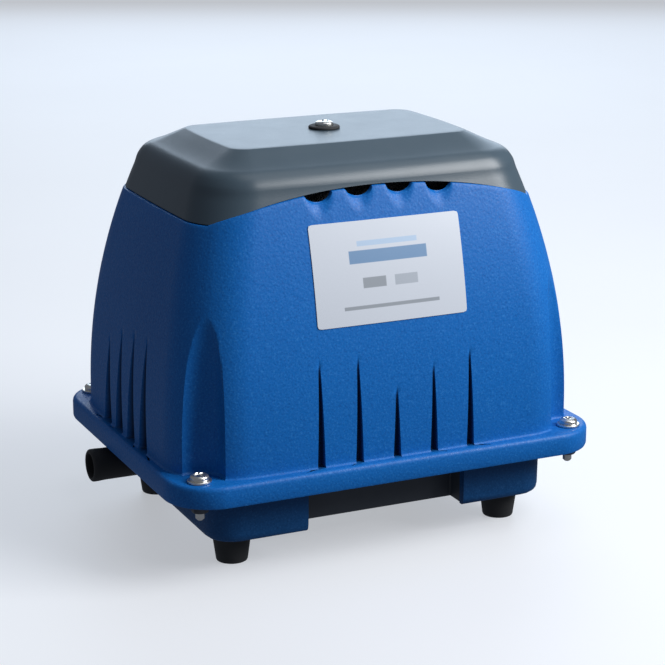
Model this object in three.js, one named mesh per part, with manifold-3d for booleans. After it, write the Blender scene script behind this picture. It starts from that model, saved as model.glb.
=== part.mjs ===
// Linear diaphragm air pump for ponds and aquariums.
// Millimetres, +Z up. X runs along the long front, -Y is the labelled front.
// The origin lies on the floor under the middle of the outer box.

import * as THREE from 'three';
import { mergeVertices } from 'three/addons/utils/BufferGeometryUtils.js';
import Module from 'manifold-3d';

const wasm = await Module();
wasm.setup();

// ---- driving dimensions ----------------------------------------------------

const GAP = 0.3; // clearance between touching pieces
const ROUND_STEPS = 14; // facets round a small turned piece
const CORNER_STEPS = 5; // facets round one corner of a housing section
const SIDE_STEPS = 3; // facets along one side of a housing section

const FLANGE = { hx: 122, hy: 97, radius: 26, bottom: 43.7, top: 55.6 };
const SKIRT_WALL = 4; // wall of the flange skirt outside the lower rim
const REBATE_TOP = 51; // underside of the flange plate inside the skirt
const SCREW = { x: 107, y: 83.7, shaft: 2.4, hole: 2.9, tip: 35.5 };

const BODY = { foot: 56, rise: 138, hx: 117, hy: 91, shrinkX: 22.5, shrinkY: 23.5, power: 2.12 };
const BODY_CORNER = { foot: 35, shrink: 7 };
const BODY_BULGE = 2; // how far each side bows out at its middle
const BODY_WALL = 4.2;
const RIM_WALL = 3.2; // thinner wall above the tray shelf
const BODY_TOP = 200; // before the arched edge is cut
const POCKET_RADIUS = 13; // upright pocket beside each flange screw
const LEVELS = [50, 56, 84, 106, 126, 144, 160, 174, 187, BODY_TOP];

const ARCH = { end: 180, rise: 14.5, half: 88, power: 0.7 };
const PARTING = 0.7; // gap between the housing edge and the cover edge

const FRONT_GROOVES = { pitch: 21.85, width: 4.5, depth: 4, tops: [112, 112, 94, 104, 109] };
const END_GROOVES = { places: [-28.5, -9.5, 9.5, 28.5], width: 12.5, depth: 6, tops: [117, 116, 113, 104] };
const SCALLOPS = { places: [-34.3, -11.4, 11.4, 34.3], halfX: 7.7, halfY: 9, halfZ: 6.3, lift: 1.3 };

const SHELF = { bottom: 168, top: 171.8, inset: 7.5 };
const TRAY = { inset: 3.7, bottom: 172.1, top: 175 };
const POST = { radius: 5.6, top: 200.2, boreFrom: 184 };
const FOAM = { hx: 84, hy: 56.5, radius: 20, bottom: 183.5, top: 197.5, hole: 7.2 };

const COVER_INSET = 1.5; // how far the housing edge stands proud of the cover
const COVER_WALL = 3;
const SHOULDER = { z: 202.6, hx: 88.7, hy: 62.2, radius: 22 };
const CROWN = { z: 213, hx: 67.8, hy: 39.3, radius: 7 };

const LABEL = { halfWidth: 42.5, bottom: 127.2, top: 178.4, lift: 0.35, thickness: 0.5 };

const TUB = { hx: 98, hy: 80, radius: 16, bottom: 17.5, top: 44.2, floor: 4 };
const RIM = { hx: 117.6, hy: 92.6, radius: 22, bottom: 44, top: 49.2 };
const RECESS_HALF = 45.5; // half width of the front and rear recess
const TANK = { reach: 90, wide: 74.8, narrow: 64, step: 45.8, middle: 49.6 };
const TANK_Z = { floor: 17.8, endFloor: 21.9, top: 43.4 };
const TANK_WALL = 3;
const LID = { bottom: 43.7, top: 46.9 };

const FOOT = { x: 79.5, y: 57, height: 17.2, top: 10.5, bottom: 8.25 };

const OUTLET = { y: 29, z: 31, outer: 9, bore: 6.7, end: 128, start: 91 };
const GLAND = { x: 68, z: 77, outside: 90.3, end: 96.6, radius: 8.6, thread: 6.2, bore: 3.6 };

const AXIS_Z = 110; // height of the armature rod
const FRAME = { hx: 74, hy: 60, bottom: 62, top: 65 };
const BRACKET = { near: 50, far: 54, half: 36, hole: 31 };
const DAMPER = { x: 62, y: 46, radius: 8, bottom: 47.2, top: 61.7 };
const CORE = { half: 38, legTip: 14, yokeIn: 44, yokeOut: 54, leg: 8, outerLeg: 28, height: 40 };
const BOBBIN = { from: 17, to: 42.5, cheek: 2, hx: 24, hz: 34, tube: 2 };
const HEAD = { near: 56.5, floor: 72, far: 78, half: 36, radius: 9, dish: 31 };
const CHEST = { near: 78.3, far: 91, wall: 3 };
const PORT = { rise: 17, radius: 6 };
const SPIGOT = { x: 82.6, radius: 4.2, bore: 2.6 };
const ROD = { half: 65, radius: 4, barHalf: 40, barY: 4.5, barZ: 20 };
const MAGNET = { near: 10.3, far: 33.7, y: 9, z: 15.7 };
const FLAP = { width: 20, height: 17, thickness: 1 };

const OUTER_END = FLANGE.hx; // right-hand limit of the outer box
const SHIFT_X = (OUTLET.end - OUTER_END) / 2; // centres the box on the origin

// ---- finishes --------------------------------------------------------------

function finish(color, roughness, metalness = 0) {
  return new THREE.MeshStandardMaterial({ color, roughness, metalness });
}

const BLUE_PAINT = finish(0x1f62b8, 0.55);
const DARK_BLUE_PAINT = finish(0x173f78, 0.6);
const COVER_PLASTIC = finish(0x3b444c, 0.45);
const BLACK_RUBBER = finish(0x15181b, 0.85);
const BLACK_PLASTIC = finish(0x1b1f22, 0.6);
const ZINC = finish(0xc9c8c2, 0.3, 1);
const PAPER = finish(0xe6eaf0, 0.6);
const ALUMINIUM = finish(0xa9adb2, 0.45, 1);
const LAMINATION = finish(0x5c5f63, 0.5, 1);
const COPPER = finish(0xb5652c, 0.4, 1);
const NYLON = finish(0xd8d4c8, 0.6);
const FOAM_BLACK = finish(0x202326, 0.95);
const FERRITE = finish(0x2f3133, 0.7);

// ---- geometry helpers ------------------------------------------------------

/** Joins equal vertices, drops empty triangles and turns the faces outward. */
function weld(geometry) {
  const bare = new THREE.BufferGeometry();
  bare.setAttribute('position', geometry.getAttribute('position').clone());
  bare.setIndex(geometry.index);
  const welded = mergeVertices(bare, 1e-4);
  const index = welded.index.array;
  const place = welded.getAttribute('position');
  const corner = [new THREE.Vector3(), new THREE.Vector3(), new THREE.Vector3()];
  const kept = [];
  let volume = 0;
  for (let i = 0; i < index.length; i += 3) {
    const [a, b, c] = index.slice(i, i + 3);
    if (a !== b && b !== c && c !== a) {
      kept.push(a, b, c);
      corner.forEach((point, k) => point.fromBufferAttribute(place, index[i + k]));
      volume += corner[0].dot(corner[1].cross(corner[2]));
    }
  }
  welded.setIndex(volume < 0 ? kept.reverse() : kept);
  return welded;
}

/** A closed geometry as a solid that can be cut and joined. */
function solid(geometry) {
  const welded = weld(geometry);
  const vertProperties = new Float32Array(welded.getAttribute('position').array);
  const triVerts = new Uint32Array(welded.index.array);
  return new wasm.Manifold(new wasm.Mesh({ numProp: 3, vertProperties, triVerts }));
}

function join(...solids) {
  return solids.reduce((whole, next) => whole.add(next));
}

function cut(whole, ...tools) {
  return tools.reduce((left, tool) => left.subtract(tool), whole);
}

/** A named sub-part from a solid. */
function part(name, shape, material) {
  const { vertProperties, triVerts } = shape.getMesh();
  const geometry = new THREE.BufferGeometry();
  geometry.setAttribute('position', new THREE.BufferAttribute(vertProperties, 3));
  geometry.setIndex(new THREE.BufferAttribute(triVerts, 1));
  geometry.computeVertexNormals();
  const mesh = new THREE.Mesh(geometry, material);
  mesh.name = name;
  return mesh;
}

/** Box from its lowest and highest corners. */
function box(low, high) {
  const size = high.map((value, k) => value - low[k]);
  const geometry = new THREE.BoxGeometry(...size);
  geometry.translate(...low.map((value, k) => value + size[k] / 2));
  return solid(geometry);
}

const TURN = {
  x: (geometry) => geometry.rotateZ(-Math.PI / 2),
  y: (geometry) => geometry,
  z: (geometry) => geometry.rotateX(Math.PI / 2),
};

/** Round bar of a given radius from one place to another along an axis. */
function bar(axis, radius, from, to, centre, steps = ROUND_STEPS) {
  const geometry = new THREE.CylinderGeometry(radius, radius, to - from, steps);
  geometry.translate(0, (from + to) / 2, 0);
  return solid(TURN[axis](geometry).translate(...centre));
}

/** Turned solid: profile points are [radius, place along the axis], in a closed loop. */
function turned(axis, profile, centre, steps = ROUND_STEPS) {
  const points = [...profile, profile[0]].map(([radius, place]) => new THREE.Vector2(radius, place));
  const geometry = new THREE.LatheGeometry(points, steps);
  return solid(TURN[axis](geometry).translate(...centre));
}

/** Plate with an outline in X and Y, standing between two heights. */
function plate(outline, bottom, top, holes = []) {
  const shape = new THREE.Shape(outline);
  shape.holes = holes.map((hole) => new THREE.Path(hole));
  const geometry = new THREE.ExtrudeGeometry(shape, { depth: top - bottom, bevelEnabled: false });
  return solid(geometry.translate(0, 0, bottom));
}

/** Plate with an outline in Y and Z, standing between two places along X. */
function uprightPlate(outline, near, far, holes = []) {
  const shape = new THREE.Shape(outline);
  shape.holes = holes.map((hole) => new THREE.Path(hole));
  const geometry = new THREE.ExtrudeGeometry(shape, { depth: far - near, bevelEnabled: false });
  geometry.rotateX(Math.PI / 2).rotateZ(Math.PI / 2);
  return solid(geometry.translate(near, 0, 0));
}

/** Rounded rectangle about the origin; its sides can bow out by a few millimetres. */
function roundedRectangle(hx, hy, radius, bulge = 0) {
  const signs = [[1, 1], [-1, 1], [-1, -1], [1, -1]];
  const corners = signs.map(([sx, sy], quarter) => {
    const points = [];
    for (let i = 0; i <= CORNER_STEPS; i += 1) {
      const angle = (quarter + i / CORNER_STEPS) * Math.PI / 2;
      const x = sx * (hx - radius) + radius * Math.cos(angle);
      const y = sy * (hy - radius) + radius * Math.sin(angle);
      points.push(new THREE.Vector2(x, y));
    }
    return points;
  });
  const outline = [];
  corners.forEach((points, quarter) => {
    const next = corners[(quarter + 1) % corners.length][0];
    const last = points[points.length - 1];
    outline.push(...points);
    for (let i = 1; i < SIDE_STEPS; i += 1) {
      outline.push(last.clone().lerp(next, i / SIDE_STEPS));
    }
  });
  return outline.map(({ x, y }) => new THREE.Vector2(
    x * (1 - (bulge / hx) * (y / hy) ** 2),
    y * (1 - (bulge / hy) * (x / hx) ** 2),
  ));
}

/** Closed skin through level outlines that all have the same number of points. */
function loft(levels) {
  const count = levels[0].outline.length;
  const vertices = levels.flatMap(({ z, outline }) => outline.flatMap(({ x, y }) => [x, y, z]));
  const bottomCentre = vertices.length / 3;
  vertices.push(0, 0, levels[0].z, 0, 0, levels[levels.length - 1].z);
  for (const [k, level] of [[0, levels[0]], [1, levels[levels.length - 1]]]) {
    const middle = level.outline.reduce((sum, p) => sum.add(p), new THREE.Vector2());
    vertices[3 * (bottomCentre + k)] = middle.x / count;
    vertices[3 * (bottomCentre + k) + 1] = middle.y / count;
  }
  const index = [];
  const lastRow = (levels.length - 1) * count;
  for (let i = 0; i < count; i += 1) {
    const j = (i + 1) % count;
    index.push(bottomCentre, j, i);
    index.push(bottomCentre + 1, lastRow + i, lastRow + j);
    for (let row = 0; row < lastRow; row += count) {
      index.push(row + i, row + j, row + count + j);
      index.push(row + i, row + count + j, row + count + i);
    }
  }
  const geometry = new THREE.BufferGeometry();
  geometry.setAttribute('position', new THREE.Float32BufferAttribute(vertices, 3));
  geometry.setIndex(index);
  return solid(geometry);
}

/** The same shape turned half a turn about the upright axis. */
function turnedAbout(mesh) {
  mesh.rotation.z = Math.PI;
  return mesh;
}

// ---- the moulded outer form ------------------------------------------------

/** Half sizes of the housing body at a height: it leans in more and more upward. */
function bodyHalf(z) {
  const t = Math.max(0, (z - BODY.foot) / BODY.rise);
  const lean = t ** BODY.power;
  return {
    hx: BODY.hx - BODY.shrinkX * lean,
    hy: BODY.hy - BODY.shrinkY * lean,
    radius: BODY_CORNER.foot - BODY_CORNER.shrink * t,
  };
}

function bodyLevel(z, inset = 0) {
  const { hx, hy, radius } = bodyHalf(z);
  return { z, outline: roundedRectangle(hx - inset, hy - inset, radius - inset, BODY_BULGE) };
}

/** Height of the arched parting edge above a place along X. */
function edgeHeight(x) {
  const inside = Math.max(0, 1 - (x / ARCH.half) ** 2);
  return ARCH.end + ARCH.rise * inside ** ARCH.power;
}

/** Everything above (or below) the arched edge, moved up by an offset. */
function archBlock(offset, limit) {
  const reach = 150;
  const steps = 24;
  const outline = [new THREE.Vector2(-reach, limit), new THREE.Vector2(-reach, ARCH.end + offset)];
  for (let i = 0; i <= steps; i += 1) {
    const x = -ARCH.half * Math.cos((i / steps) * Math.PI);
    outline.push(new THREE.Vector2(x, edgeHeight(x) + offset));
  }
  outline.push(new THREE.Vector2(reach, ARCH.end + offset), new THREE.Vector2(reach, limit));
  const depth = 2 * reach;
  const geometry = new THREE.ExtrudeGeometry(new THREE.Shape(outline), { depth, bevelEnabled: false });
  return solid(geometry.rotateX(Math.PI / 2).translate(0, depth / 2, 0));
}

/** Four copies of a shape, one in each corner of a rectangle. */
function atCorners(x, y, make) {
  return [[1, 1], [-1, 1], [-1, -1], [1, -1]].map(([sx, sy]) => make(sx * x, sy * y));
}

/** Tapered wedge that cuts one groove; grown makes the boss behind it. */
function grooveWedge(width, depth, face, top, grown) {
  const half = width / 2 + grown;
  const tip = 0.6 + grown;
  const bottomFloor = face(BODY.foot) - depth - grown;
  const topFloor = face(top) + 0.2 - grown;
  const outside = face(BODY.foot) + 8;
  const level = (z, w, floor) => ({
    z,
    outline: [[w, floor], [w, outside], [-w, outside], [-w, floor]].map(([x, y]) => new THREE.Vector2(x, y)),
  });
  return loft([level(FLANGE.top, half, bottomFloor), level(top + grown, tip, topFloor)]);
}

function grooveCutters(grown) {
  const cutters = [];
  const middle = (FRONT_GROOVES.tops.length - 1) / 2;
  for (const turn of [0, 180]) {
    FRONT_GROOVES.tops.forEach((top, i) => {
      const { width, depth, pitch } = FRONT_GROOVES;
      const wedge = grooveWedge(width, depth, (z) => bodyHalf(z).hy, top, grown);
      cutters.push(wedge.translate([(middle - i) * pitch, 0, 0]).rotate([0, 0, 180 + turn]));
    });
    END_GROOVES.places.forEach((place, i) => {
      const { width, depth, tops } = END_GROOVES;
      const wedge = grooveWedge(width, depth, (z) => bodyHalf(z).hx, tops[i], grown);
      cutters.push(wedge.translate([place, 0, 0]).rotate([0, 0, 90 + turn]));
    });
  }
  return cutters;
}

/** Dished notches that let air in under the cover, front and rear. */
function scallopCutters() {
  return SCALLOPS.places.flatMap((x) => [-1, 1].map((side) => {
    const z = edgeHeight(x) + SCALLOPS.lift;
    const geometry = new THREE.SphereGeometry(1, 10, 6);
    geometry.scale(SCALLOPS.halfX, SCALLOPS.halfY, SCALLOPS.halfZ);
    return solid(geometry.translate(x, side * (bodyHalf(z).hy + 0.5), z));
  }));
}

function upperHousing() {
  const flangeLevels = [[0, 1.6], [1.6, 0], [9.5, 0], [11.2, 0.8], [11.9, 2.4]];
  const flange = loft(flangeLevels.map(([rise, inset]) => ({
    z: FLANGE.bottom + rise,
    outline: roundedRectangle(FLANGE.hx - inset, FLANGE.hy - inset, FLANGE.radius - inset),
  })));
  const skin = join(flange, loft(LEVELS.map((z) => bodyLevel(z))));
  const pockets = atCorners(SCREW.x, SCREW.y, (x, y) => bar('z', POCKET_RADIUS, FLANGE.top, 210, [x, y, 0], 20));
  const outside = cut(skin, archBlock(0, 240), ...pockets, ...grooveCutters(0), ...scallopCutters());

  const pocketBosses = atCorners(SCREW.x, SCREW.y, (x, y) => (
    bar('z', POCKET_RADIUS + BODY_WALL - 0.7, 40, 160, [x, y, 0], 12)
  ));
  const lowCavity = loft([REBATE_TOP - 0.1, 90, 130, SHELF.bottom].map((z) => bodyLevel(z, BODY_WALL)));
  const shelfHole = loft([SHELF.bottom - 0.1, SHELF.top].map((z) => bodyLevel(z, SHELF.inset)));
  const rimCavity = loft([SHELF.top - 0.1, 185, BODY_TOP + 5].map((z) => bodyLevel(z, RIM_WALL)));
  const cavity = join(cut(lowCavity, ...pocketBosses, ...grooveCutters(2.6)), shelfHole, rimCavity);

  const rebateHalf = [FLANGE.hx - SKIRT_WALL, FLANGE.hy - SKIRT_WALL];
  const rebate = plate(roundedRectangle(...rebateHalf, FLANGE.radius - SKIRT_WALL), 40, REBATE_TOP);
  const screwHoles = atCorners(SCREW.x, SCREW.y, (x, y) => bar('z', SCREW.hole, 40, 60, [x, y, 0]));
  const glandHole = bar('y', GLAND.thread + 0.4, 70, 110, [GLAND.x, 0, GLAND.z]);
  return part('upper_housing', cut(outside, cavity, rebate, ...screwHoles, glandHole), BLUE_PAINT);
}

function ratingLabel() {
  const columns = 8;
  const rows = 6;
  const skin = [0, LABEL.thickness].map((thickness) => {
    const points = [];
    for (let row = 0; row <= rows; row += 1) {
      const z = LABEL.bottom + (LABEL.top - LABEL.bottom) * (row / rows);
      const { hx, hy } = bodyHalf(z);
      for (let column = 0; column <= columns; column += 1) {
        const x = LABEL.halfWidth * (2 * (column / columns) - 1);
        const face = hy - BODY_BULGE * (x / hx) ** 2;
        points.push([x, -(face + LABEL.lift + thickness), z]);
      }
    }
    return points;
  });
  const count = skin[0].length;
  const width = columns + 1;
  const index = [];
  const quad = (a, b, c, d) => index.push(a, b, c, a, c, d);
  for (let row = 0; row < rows; row += 1) {
    for (let column = 0; column < columns; column += 1) {
      const a = row * width + column;
      quad(a, a + width, a + width + 1, a + 1);
      quad(count + a, count + a + 1, count + a + width + 1, count + a + width);
    }
  }
  for (let column = 0; column < columns; column += 1) {
    const top = rows * width + column;
    quad(column, column + 1, count + column + 1, count + column);
    quad(top, count + top, count + top + 1, top + 1);
  }
  for (let row = 0; row < rows; row += 1) {
    const left = row * width;
    const right = left + columns;
    quad(left, count + left, count + left + width, left + width);
    quad(right, right + width, count + right + width, count + right);
  }
  const geometry = new THREE.BufferGeometry();
  geometry.setAttribute('position', new THREE.Float32BufferAttribute(skin.flat(2), 3));
  geometry.setIndex(index);
  return part('rating_label', solid(geometry), PAPER);
}

// ---- filter cover, tray and foam -------------------------------------------

function coverLevel(z, inset) {
  const { hx, hy, radius } = bodyHalf(z);
  const inward = COVER_INSET + inset;
  return { z, outline: roundedRectangle(hx - inward, hy - inward, radius - inward, BODY_BULGE) };
}

function crownLevel(z, hx, hy, radius) {
  return { z, outline: roundedRectangle(hx, hy, radius, BODY_BULGE / 2) };
}

function filterCover() {
  const outside = loft([
    ...[172, 180, 187, 192].map((z) => coverLevel(z, 0)),
    crownLevel(198, 91.2, 64.3, 25),
    crownLevel(SHOULDER.z, SHOULDER.hx, SHOULDER.hy, SHOULDER.radius),
    crownLevel(SHOULDER.z + 1.6, SHOULDER.hx - 2.8, SHOULDER.hy - 3.6, SHOULDER.radius - 2),
    crownLevel(CROWN.z - 0.6, CROWN.hx + 1.4, CROWN.hy + 1.6, CROWN.radius + 1),
    crownLevel(CROWN.z, CROWN.hx, CROWN.hy, CROWN.radius),
  ]);
  const inside = loft([
    ...[171, 180, 187, 192].map((z) => coverLevel(z, COVER_WALL)),
    crownLevel(198, 91.2 - COVER_WALL, 64.3 - COVER_WALL, 22),
    crownLevel(SHOULDER.z - 1.4, SHOULDER.hx - 5, SHOULDER.hy - 5.4, 18),
    crownLevel(CROWN.z - COVER_WALL, CROWN.hx - 2, CROWN.hy - 2.5, 5),
  ]);
  const boss = bar('z', 6, 201, CROWN.z - COVER_WALL + 0.5, [0, 0, 0]);
  const hole = bar('z', 3.1, 190, 220, [0, 0, 0]);
  const shell = cut(join(cut(outside, inside), boss), hole);
  return part('filter_cover', cut(shell, archBlock(PARTING, 150)), COVER_PLASTIC);
}

/** Cross recess of a screw head, as two thin blocks. */
function crossRecess(z, depth) {
  const long = 2.6;
  const thin = 0.55;
  return [box([-long, -thin, z - depth], [long, thin, z + 1]), box([-thin, -long, z - depth], [thin, long, z + 1])];
}

function coverScrew() {
  const under = CROWN.z + 1.7;
  const profile = [
    [0, POST.boreFrom + 1.5], [1.6, POST.boreFrom + 1.5], [2.6, POST.boreFrom + 4], [2.6, under],
    [4.9, under], [4.9, under + 1], [4.3, under + 1.9], [3, under + 2.4], [0, under + 2.5],
  ];
  const shape = cut(turned('z', profile, [0, 0, 0]), ...crossRecess(under + 2.5, 1.2));
  return part('cover_screw', shape, ZINC);
}

function coverWasher() {
  const low = CROWN.z + GAP;
  const profile = [[3.1, low], [8.5, low], [8.5, low + 0.6], [7.8, low + 1.1], [3.1, low + 1.1]];
  return part('cover_washer', turned('z', profile, [0, 0, 0], 16), BLACK_RUBBER);
}

function filterTray() {
  const deck = plate(bodyLevel(TRAY.top, TRAY.inset).outline, TRAY.bottom, TRAY.top);
  const ribs = [-32, 0, 32].map((y) => box([-74, y - 1.5, TRAY.top - 0.5], [74, y + 1.5, FOAM.bottom - GAP]));
  const post = bar('z', POST.radius, TRAY.top - 0.5, POST.top, [0, 0, 0]);
  const bore = bar('z', SCREW.hole, POST.boreFrom, POST.top + 5, [0, 0, 0]);
  const slots = [];
  for (const x of [-44, 44]) {
    for (const y of [-16, 16]) {
      slots.push(box([x - 24, y - 6, TRAY.bottom - 1], [x + 24, y + 6, TRAY.top + 1]));
    }
  }
  return part('filter_tray', cut(join(deck, ...ribs, post), bore, ...slots), BLACK_PLASTIC);
}

function filterFoam() {
  const outline = roundedRectangle(FOAM.hx, FOAM.hy, FOAM.radius);
  const slab = plate(outline, FOAM.bottom, FOAM.top);
  return part('filter_foam', cut(slab, bar('z', FOAM.hole, 170, 210, [0, 0, 0])), FOAM_BLACK);
}

// ---- lower housing, tank and feet ------------------------------------------

/** Plan of the tank: its middle is narrower, behind the front and rear recess. */
function tankPlan(reach, offset = 0) {
  const far = reach + offset;
  const wide = TANK.wide + offset;
  const narrow = TANK.narrow + offset;
  const step = TANK.step - offset;
  const quarter = [[far, wide], [step, wide], [step, narrow]];
  const signs = [[1, 1], [-1, 1], [-1, -1], [1, -1]];
  return signs.flatMap(([sx, sy]) => {
    const points = quarter.map(([x, y]) => new THREE.Vector2(sx * x, sy * y));
    return sx * sy > 0 ? points : points.reverse();
  });
}

function lowerHousing() {
  const levels = [[0, 2.4, 2.4], [1.2, 1, 1], [4, 0.4, 0.4], [TUB.top - TUB.bottom, 0, 0]];
  const tub = loft(levels.map(([rise, insetX, insetY]) => ({
    z: TUB.bottom + rise,
    outline: roundedRectangle(TUB.hx - insetX, TUB.hy - insetY, TUB.radius - insetY),
  })));
  const rim = plate(roundedRectangle(RIM.hx, RIM.hy, RIM.radius), RIM.bottom, RIM.top);
  const seat = plate(tankPlan(TANK.reach, 0.35), TUB.bottom + TUB.floor, 60);
  const well = plate(tankPlan(TANK.middle, 0.35), 10, 60);
  const recess = box([-RECESS_HALF, -100, 10], [RECESS_HALF, 100, RIM.bottom]);
  const outletGap = box([-105, OUTLET.y - 14.5, 10], [-89, OUTLET.y + 17, RIM.bottom]);
  const holes = atCorners(SCREW.x, SCREW.y, (x, y) => bar('z', SCREW.hole, 40, 60, [x, y, 0]));
  const shape = cut(join(tub, rim), seat, well, recess, outletGap, ...holes);
  return part('lower_housing', shape, DARK_BLUE_PAINT);
}

function housingGasket() {
  const outer = roundedRectangle(117, 92, 21);
  const inner = roundedRectangle(110.5, 84.5, 30);
  const ring = plate(outer, RIM.top + GAP, REBATE_TOP - GAP, [inner]);
  const holes = atCorners(SCREW.x, SCREW.y, (x, y) => bar('z', 3.4, 40, 60, [x, y, 0]));
  return part('housing_gasket', cut(ring, ...holes), BLACK_RUBBER);
}

function airTank() {
  const wellX = TANK.step - TANK_WALL;
  const wellY = TANK.narrow - TANK_WALL;
  const outside = join(
    plate(tankPlan(TANK.reach), TANK_Z.endFloor, TANK_Z.top),
    plate(tankPlan(TANK.middle), TANK_Z.floor, TANK_Z.top),
  );
  const inside = join(
    plate(tankPlan(TANK.reach, -TANK_WALL), TANK_Z.endFloor + TANK_WALL, 60),
    box([-wellX, -wellY, TANK_Z.floor + TANK_WALL], [wellX, wellY, 60]),
  );
  const centre = [0, OUTLET.y, OUTLET.z];
  const spigot = bar('x', OUTLET.bore - GAP, -102, -TANK.reach + 1, centre);
  const bore = bar('x', 4.4, -110, -TANK.reach + 10, centre);
  return part('air_tank', cut(join(cut(outside, inside), spigot), bore), BLACK_PLASTIC);
}

function tankLid() {
  const deck = plate(tankPlan(TANK.reach), LID.bottom, LID.top);
  const spigots = [-1, 1].map((side) => bar('z', SPIGOT.radius, LID.top - 1, 54, [side * SPIGOT.x, 0, 0]));
  const bores = [-1, 1].map((side) => bar('z', SPIGOT.bore, 40, 60, [side * SPIGOT.x, 0, 0]));
  return part('tank_lid', cut(join(deck, ...spigots), ...bores), BLACK_PLASTIC);
}

function outletHose() {
  const { outer, bore, end, start } = OUTLET;
  const profile = [[bore, -start], [outer, -start], [outer, 1.2 - end], [outer - 1, -end], [bore, -end]];
  return part('outlet_hose', turned('x', profile, [0, OUTLET.y, OUTLET.z], 20), BLACK_RUBBER);
}

function outletClip() {
  const inner = OUTLET.outer + GAP;
  const profile = [[inner, -98], [inner + 1, -98], [inner + 1, -93], [inner, -93]];
  return part('outlet_clip', turned('x', profile, [0, OUTLET.y, OUTLET.z], 20), ZINC);
}

function foot(name, x, y) {
  const profile = [
    [0, 6], [3, 6], [3, 0], [FOOT.bottom - 0.8, 0], [FOOT.bottom, 0.9], [FOOT.top, 15.6],
    [FOOT.top - 0.4, FOOT.height], [0, FOOT.height],
  ];
  return part(name, turned('z', profile, [x, y, 0], 16), BLACK_RUBBER);
}

function flangeScrew(name, x, y) {
  const seat = FLANGE.top + GAP;
  const profile = [
    [0, SCREW.tip], [1.6, SCREW.tip], [SCREW.shaft, SCREW.tip + 1], [SCREW.shaft, seat], [6.2, seat], [6.2, seat + 1.1],
    [4.7, seat + 1.1], [4.7, seat + 2.4], [3.4, seat + 3.9], [0, seat + 4.2],
  ];
  const shape = cut(turned('z', profile, [0, 0, 0], 12), ...crossRecess(seat + 4.2, 1.8));
  return part(name, shape.translate([x, y, 0]), ZINC);
}

function flangeNut(name, x, y) {
  const nut = cut(bar('z', 4.7, 39.8, RIM.bottom - GAP, [x, y, 0], 6), bar('z', 2.7, 30, 50, [x, y, 0], 10));
  return part(name, nut, ZINC);
}

// ---- mains inlet -----------------------------------------------------------

function cableGland() {
  const profile = [
    [GLAND.bore, 78], [GLAND.thread, 78], [GLAND.thread, GLAND.outside], [GLAND.radius, GLAND.outside],
    [GLAND.radius, GLAND.outside + 3], [GLAND.radius - 1.6, GLAND.end - 0.8], [GLAND.radius - 3, GLAND.end],
    [GLAND.bore, GLAND.end],
  ];
  return part('cable_gland', turned('y', profile, [GLAND.x, 0, GLAND.z], 16), BLACK_PLASTIC);
}

function glandNut() {
  const centre = [GLAND.x, 0, GLAND.z];
  const nut = cut(bar('y', 9.5, 80, 84.5, centre, 6), bar('y', GLAND.thread + GAP, 75, 90, centre, 16));
  return part('gland_nut', nut, BLACK_PLASTIC);
}

function terminalBlock() {
  const body = box([50, 60, 47.2], [84, 72, 59]);
  const ways = [56, 67, 78].map((x) => box([x - 3.2, 58, 50], [x + 3.2, 68, 55]));
  return part('terminal_block', cut(body, ...ways), NYLON);
}

// ---- motor -----------------------------------------------------------------

function motorFrame() {
  const deck = box([-FRAME.hx, -FRAME.hy, FRAME.bottom], [FRAME.hx, FRAME.hy, FRAME.top]);
  const rails = [-1, 1].map((side) => {
    const [low, high] = side > 0 ? [45, 53] : [-53, -45];
    return box([-CORE.half, low, FRAME.top - 0.5], [CORE.half, high, AXIS_Z - CORE.height / 2 - GAP]);
  });
  const brackets = [-1, 1].map((side) => {
    const [low, high] = side > 0 ? [BRACKET.near, BRACKET.far] : [-BRACKET.far, -BRACKET.near];
    const wall = box([low, -BRACKET.half, FRAME.top - 0.5], [high, BRACKET.half, AXIS_Z + BRACKET.half]);
    return cut(wall, bar('x', BRACKET.hole, low - 1, high + 1, [0, 0, AXIS_Z], 20));
  });
  const window = box([-40, -34, FRAME.bottom - 1], [40, 34, FRAME.top + 1]);
  return part('motor_frame', join(cut(deck, window), ...rails, ...brackets), ALUMINIUM);
}

function damper(name, x, y) {
  const middle = (DAMPER.bottom + DAMPER.top) / 2;
  const profile = [
    [0, DAMPER.bottom], [DAMPER.radius, DAMPER.bottom], [DAMPER.radius, DAMPER.bottom + 3],
    [DAMPER.radius - 2.2, middle], [DAMPER.radius, DAMPER.top - 3], [DAMPER.radius, DAMPER.top],
    [0, DAMPER.top],
  ];
  return part(name, turned('z', profile, [x, y, 0], 12), BLACK_RUBBER);
}

/** Laminated E core: a yoke with three legs that reach in to the armature. */
function statorCore(name) {
  const { half, legTip, yokeIn, yokeOut, leg, outerLeg } = CORE;
  const corners = [
    [-half, yokeOut], [-half, legTip], [-outerLeg, legTip], [-outerLeg, yokeIn], [-leg, yokeIn],
    [-leg, legTip], [leg, legTip], [leg, yokeIn], [outerLeg, yokeIn], [outerLeg, legTip],
    [half, legTip], [half, yokeOut],
  ];
  const outline = corners.map(([x, y]) => new THREE.Vector2(x, y));
  return part(name, plate(outline, AXIS_Z - CORE.height / 2, AXIS_Z + CORE.height / 2), LAMINATION);
}

function bobbin(name) {
  const window = [CORE.leg + 0.4, CORE.height / 2 + 0.4];
  const low = (hx, y, hz) => [-hx, y, AXIS_Z - hz];
  const high = (hx, y, hz) => [hx, y, AXIS_Z + hz];
  const slab = (hx, hz, from, to) => box(low(hx, from, hz), high(hx, to, hz));
  const tube = slab(window[0] + BOBBIN.tube, window[1] + BOBBIN.tube, BOBBIN.from, BOBBIN.to);
  const cheeks = [BOBBIN.from, BOBBIN.to - BOBBIN.cheek].map((y) => (
    slab(BOBBIN.hx, BOBBIN.hz, y, y + BOBBIN.cheek)
  ));
  const bore = slab(window[0], window[1], BOBBIN.from - 1, BOBBIN.to + 1);
  return part(name, cut(join(tube, ...cheeks), bore), NYLON);
}

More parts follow.
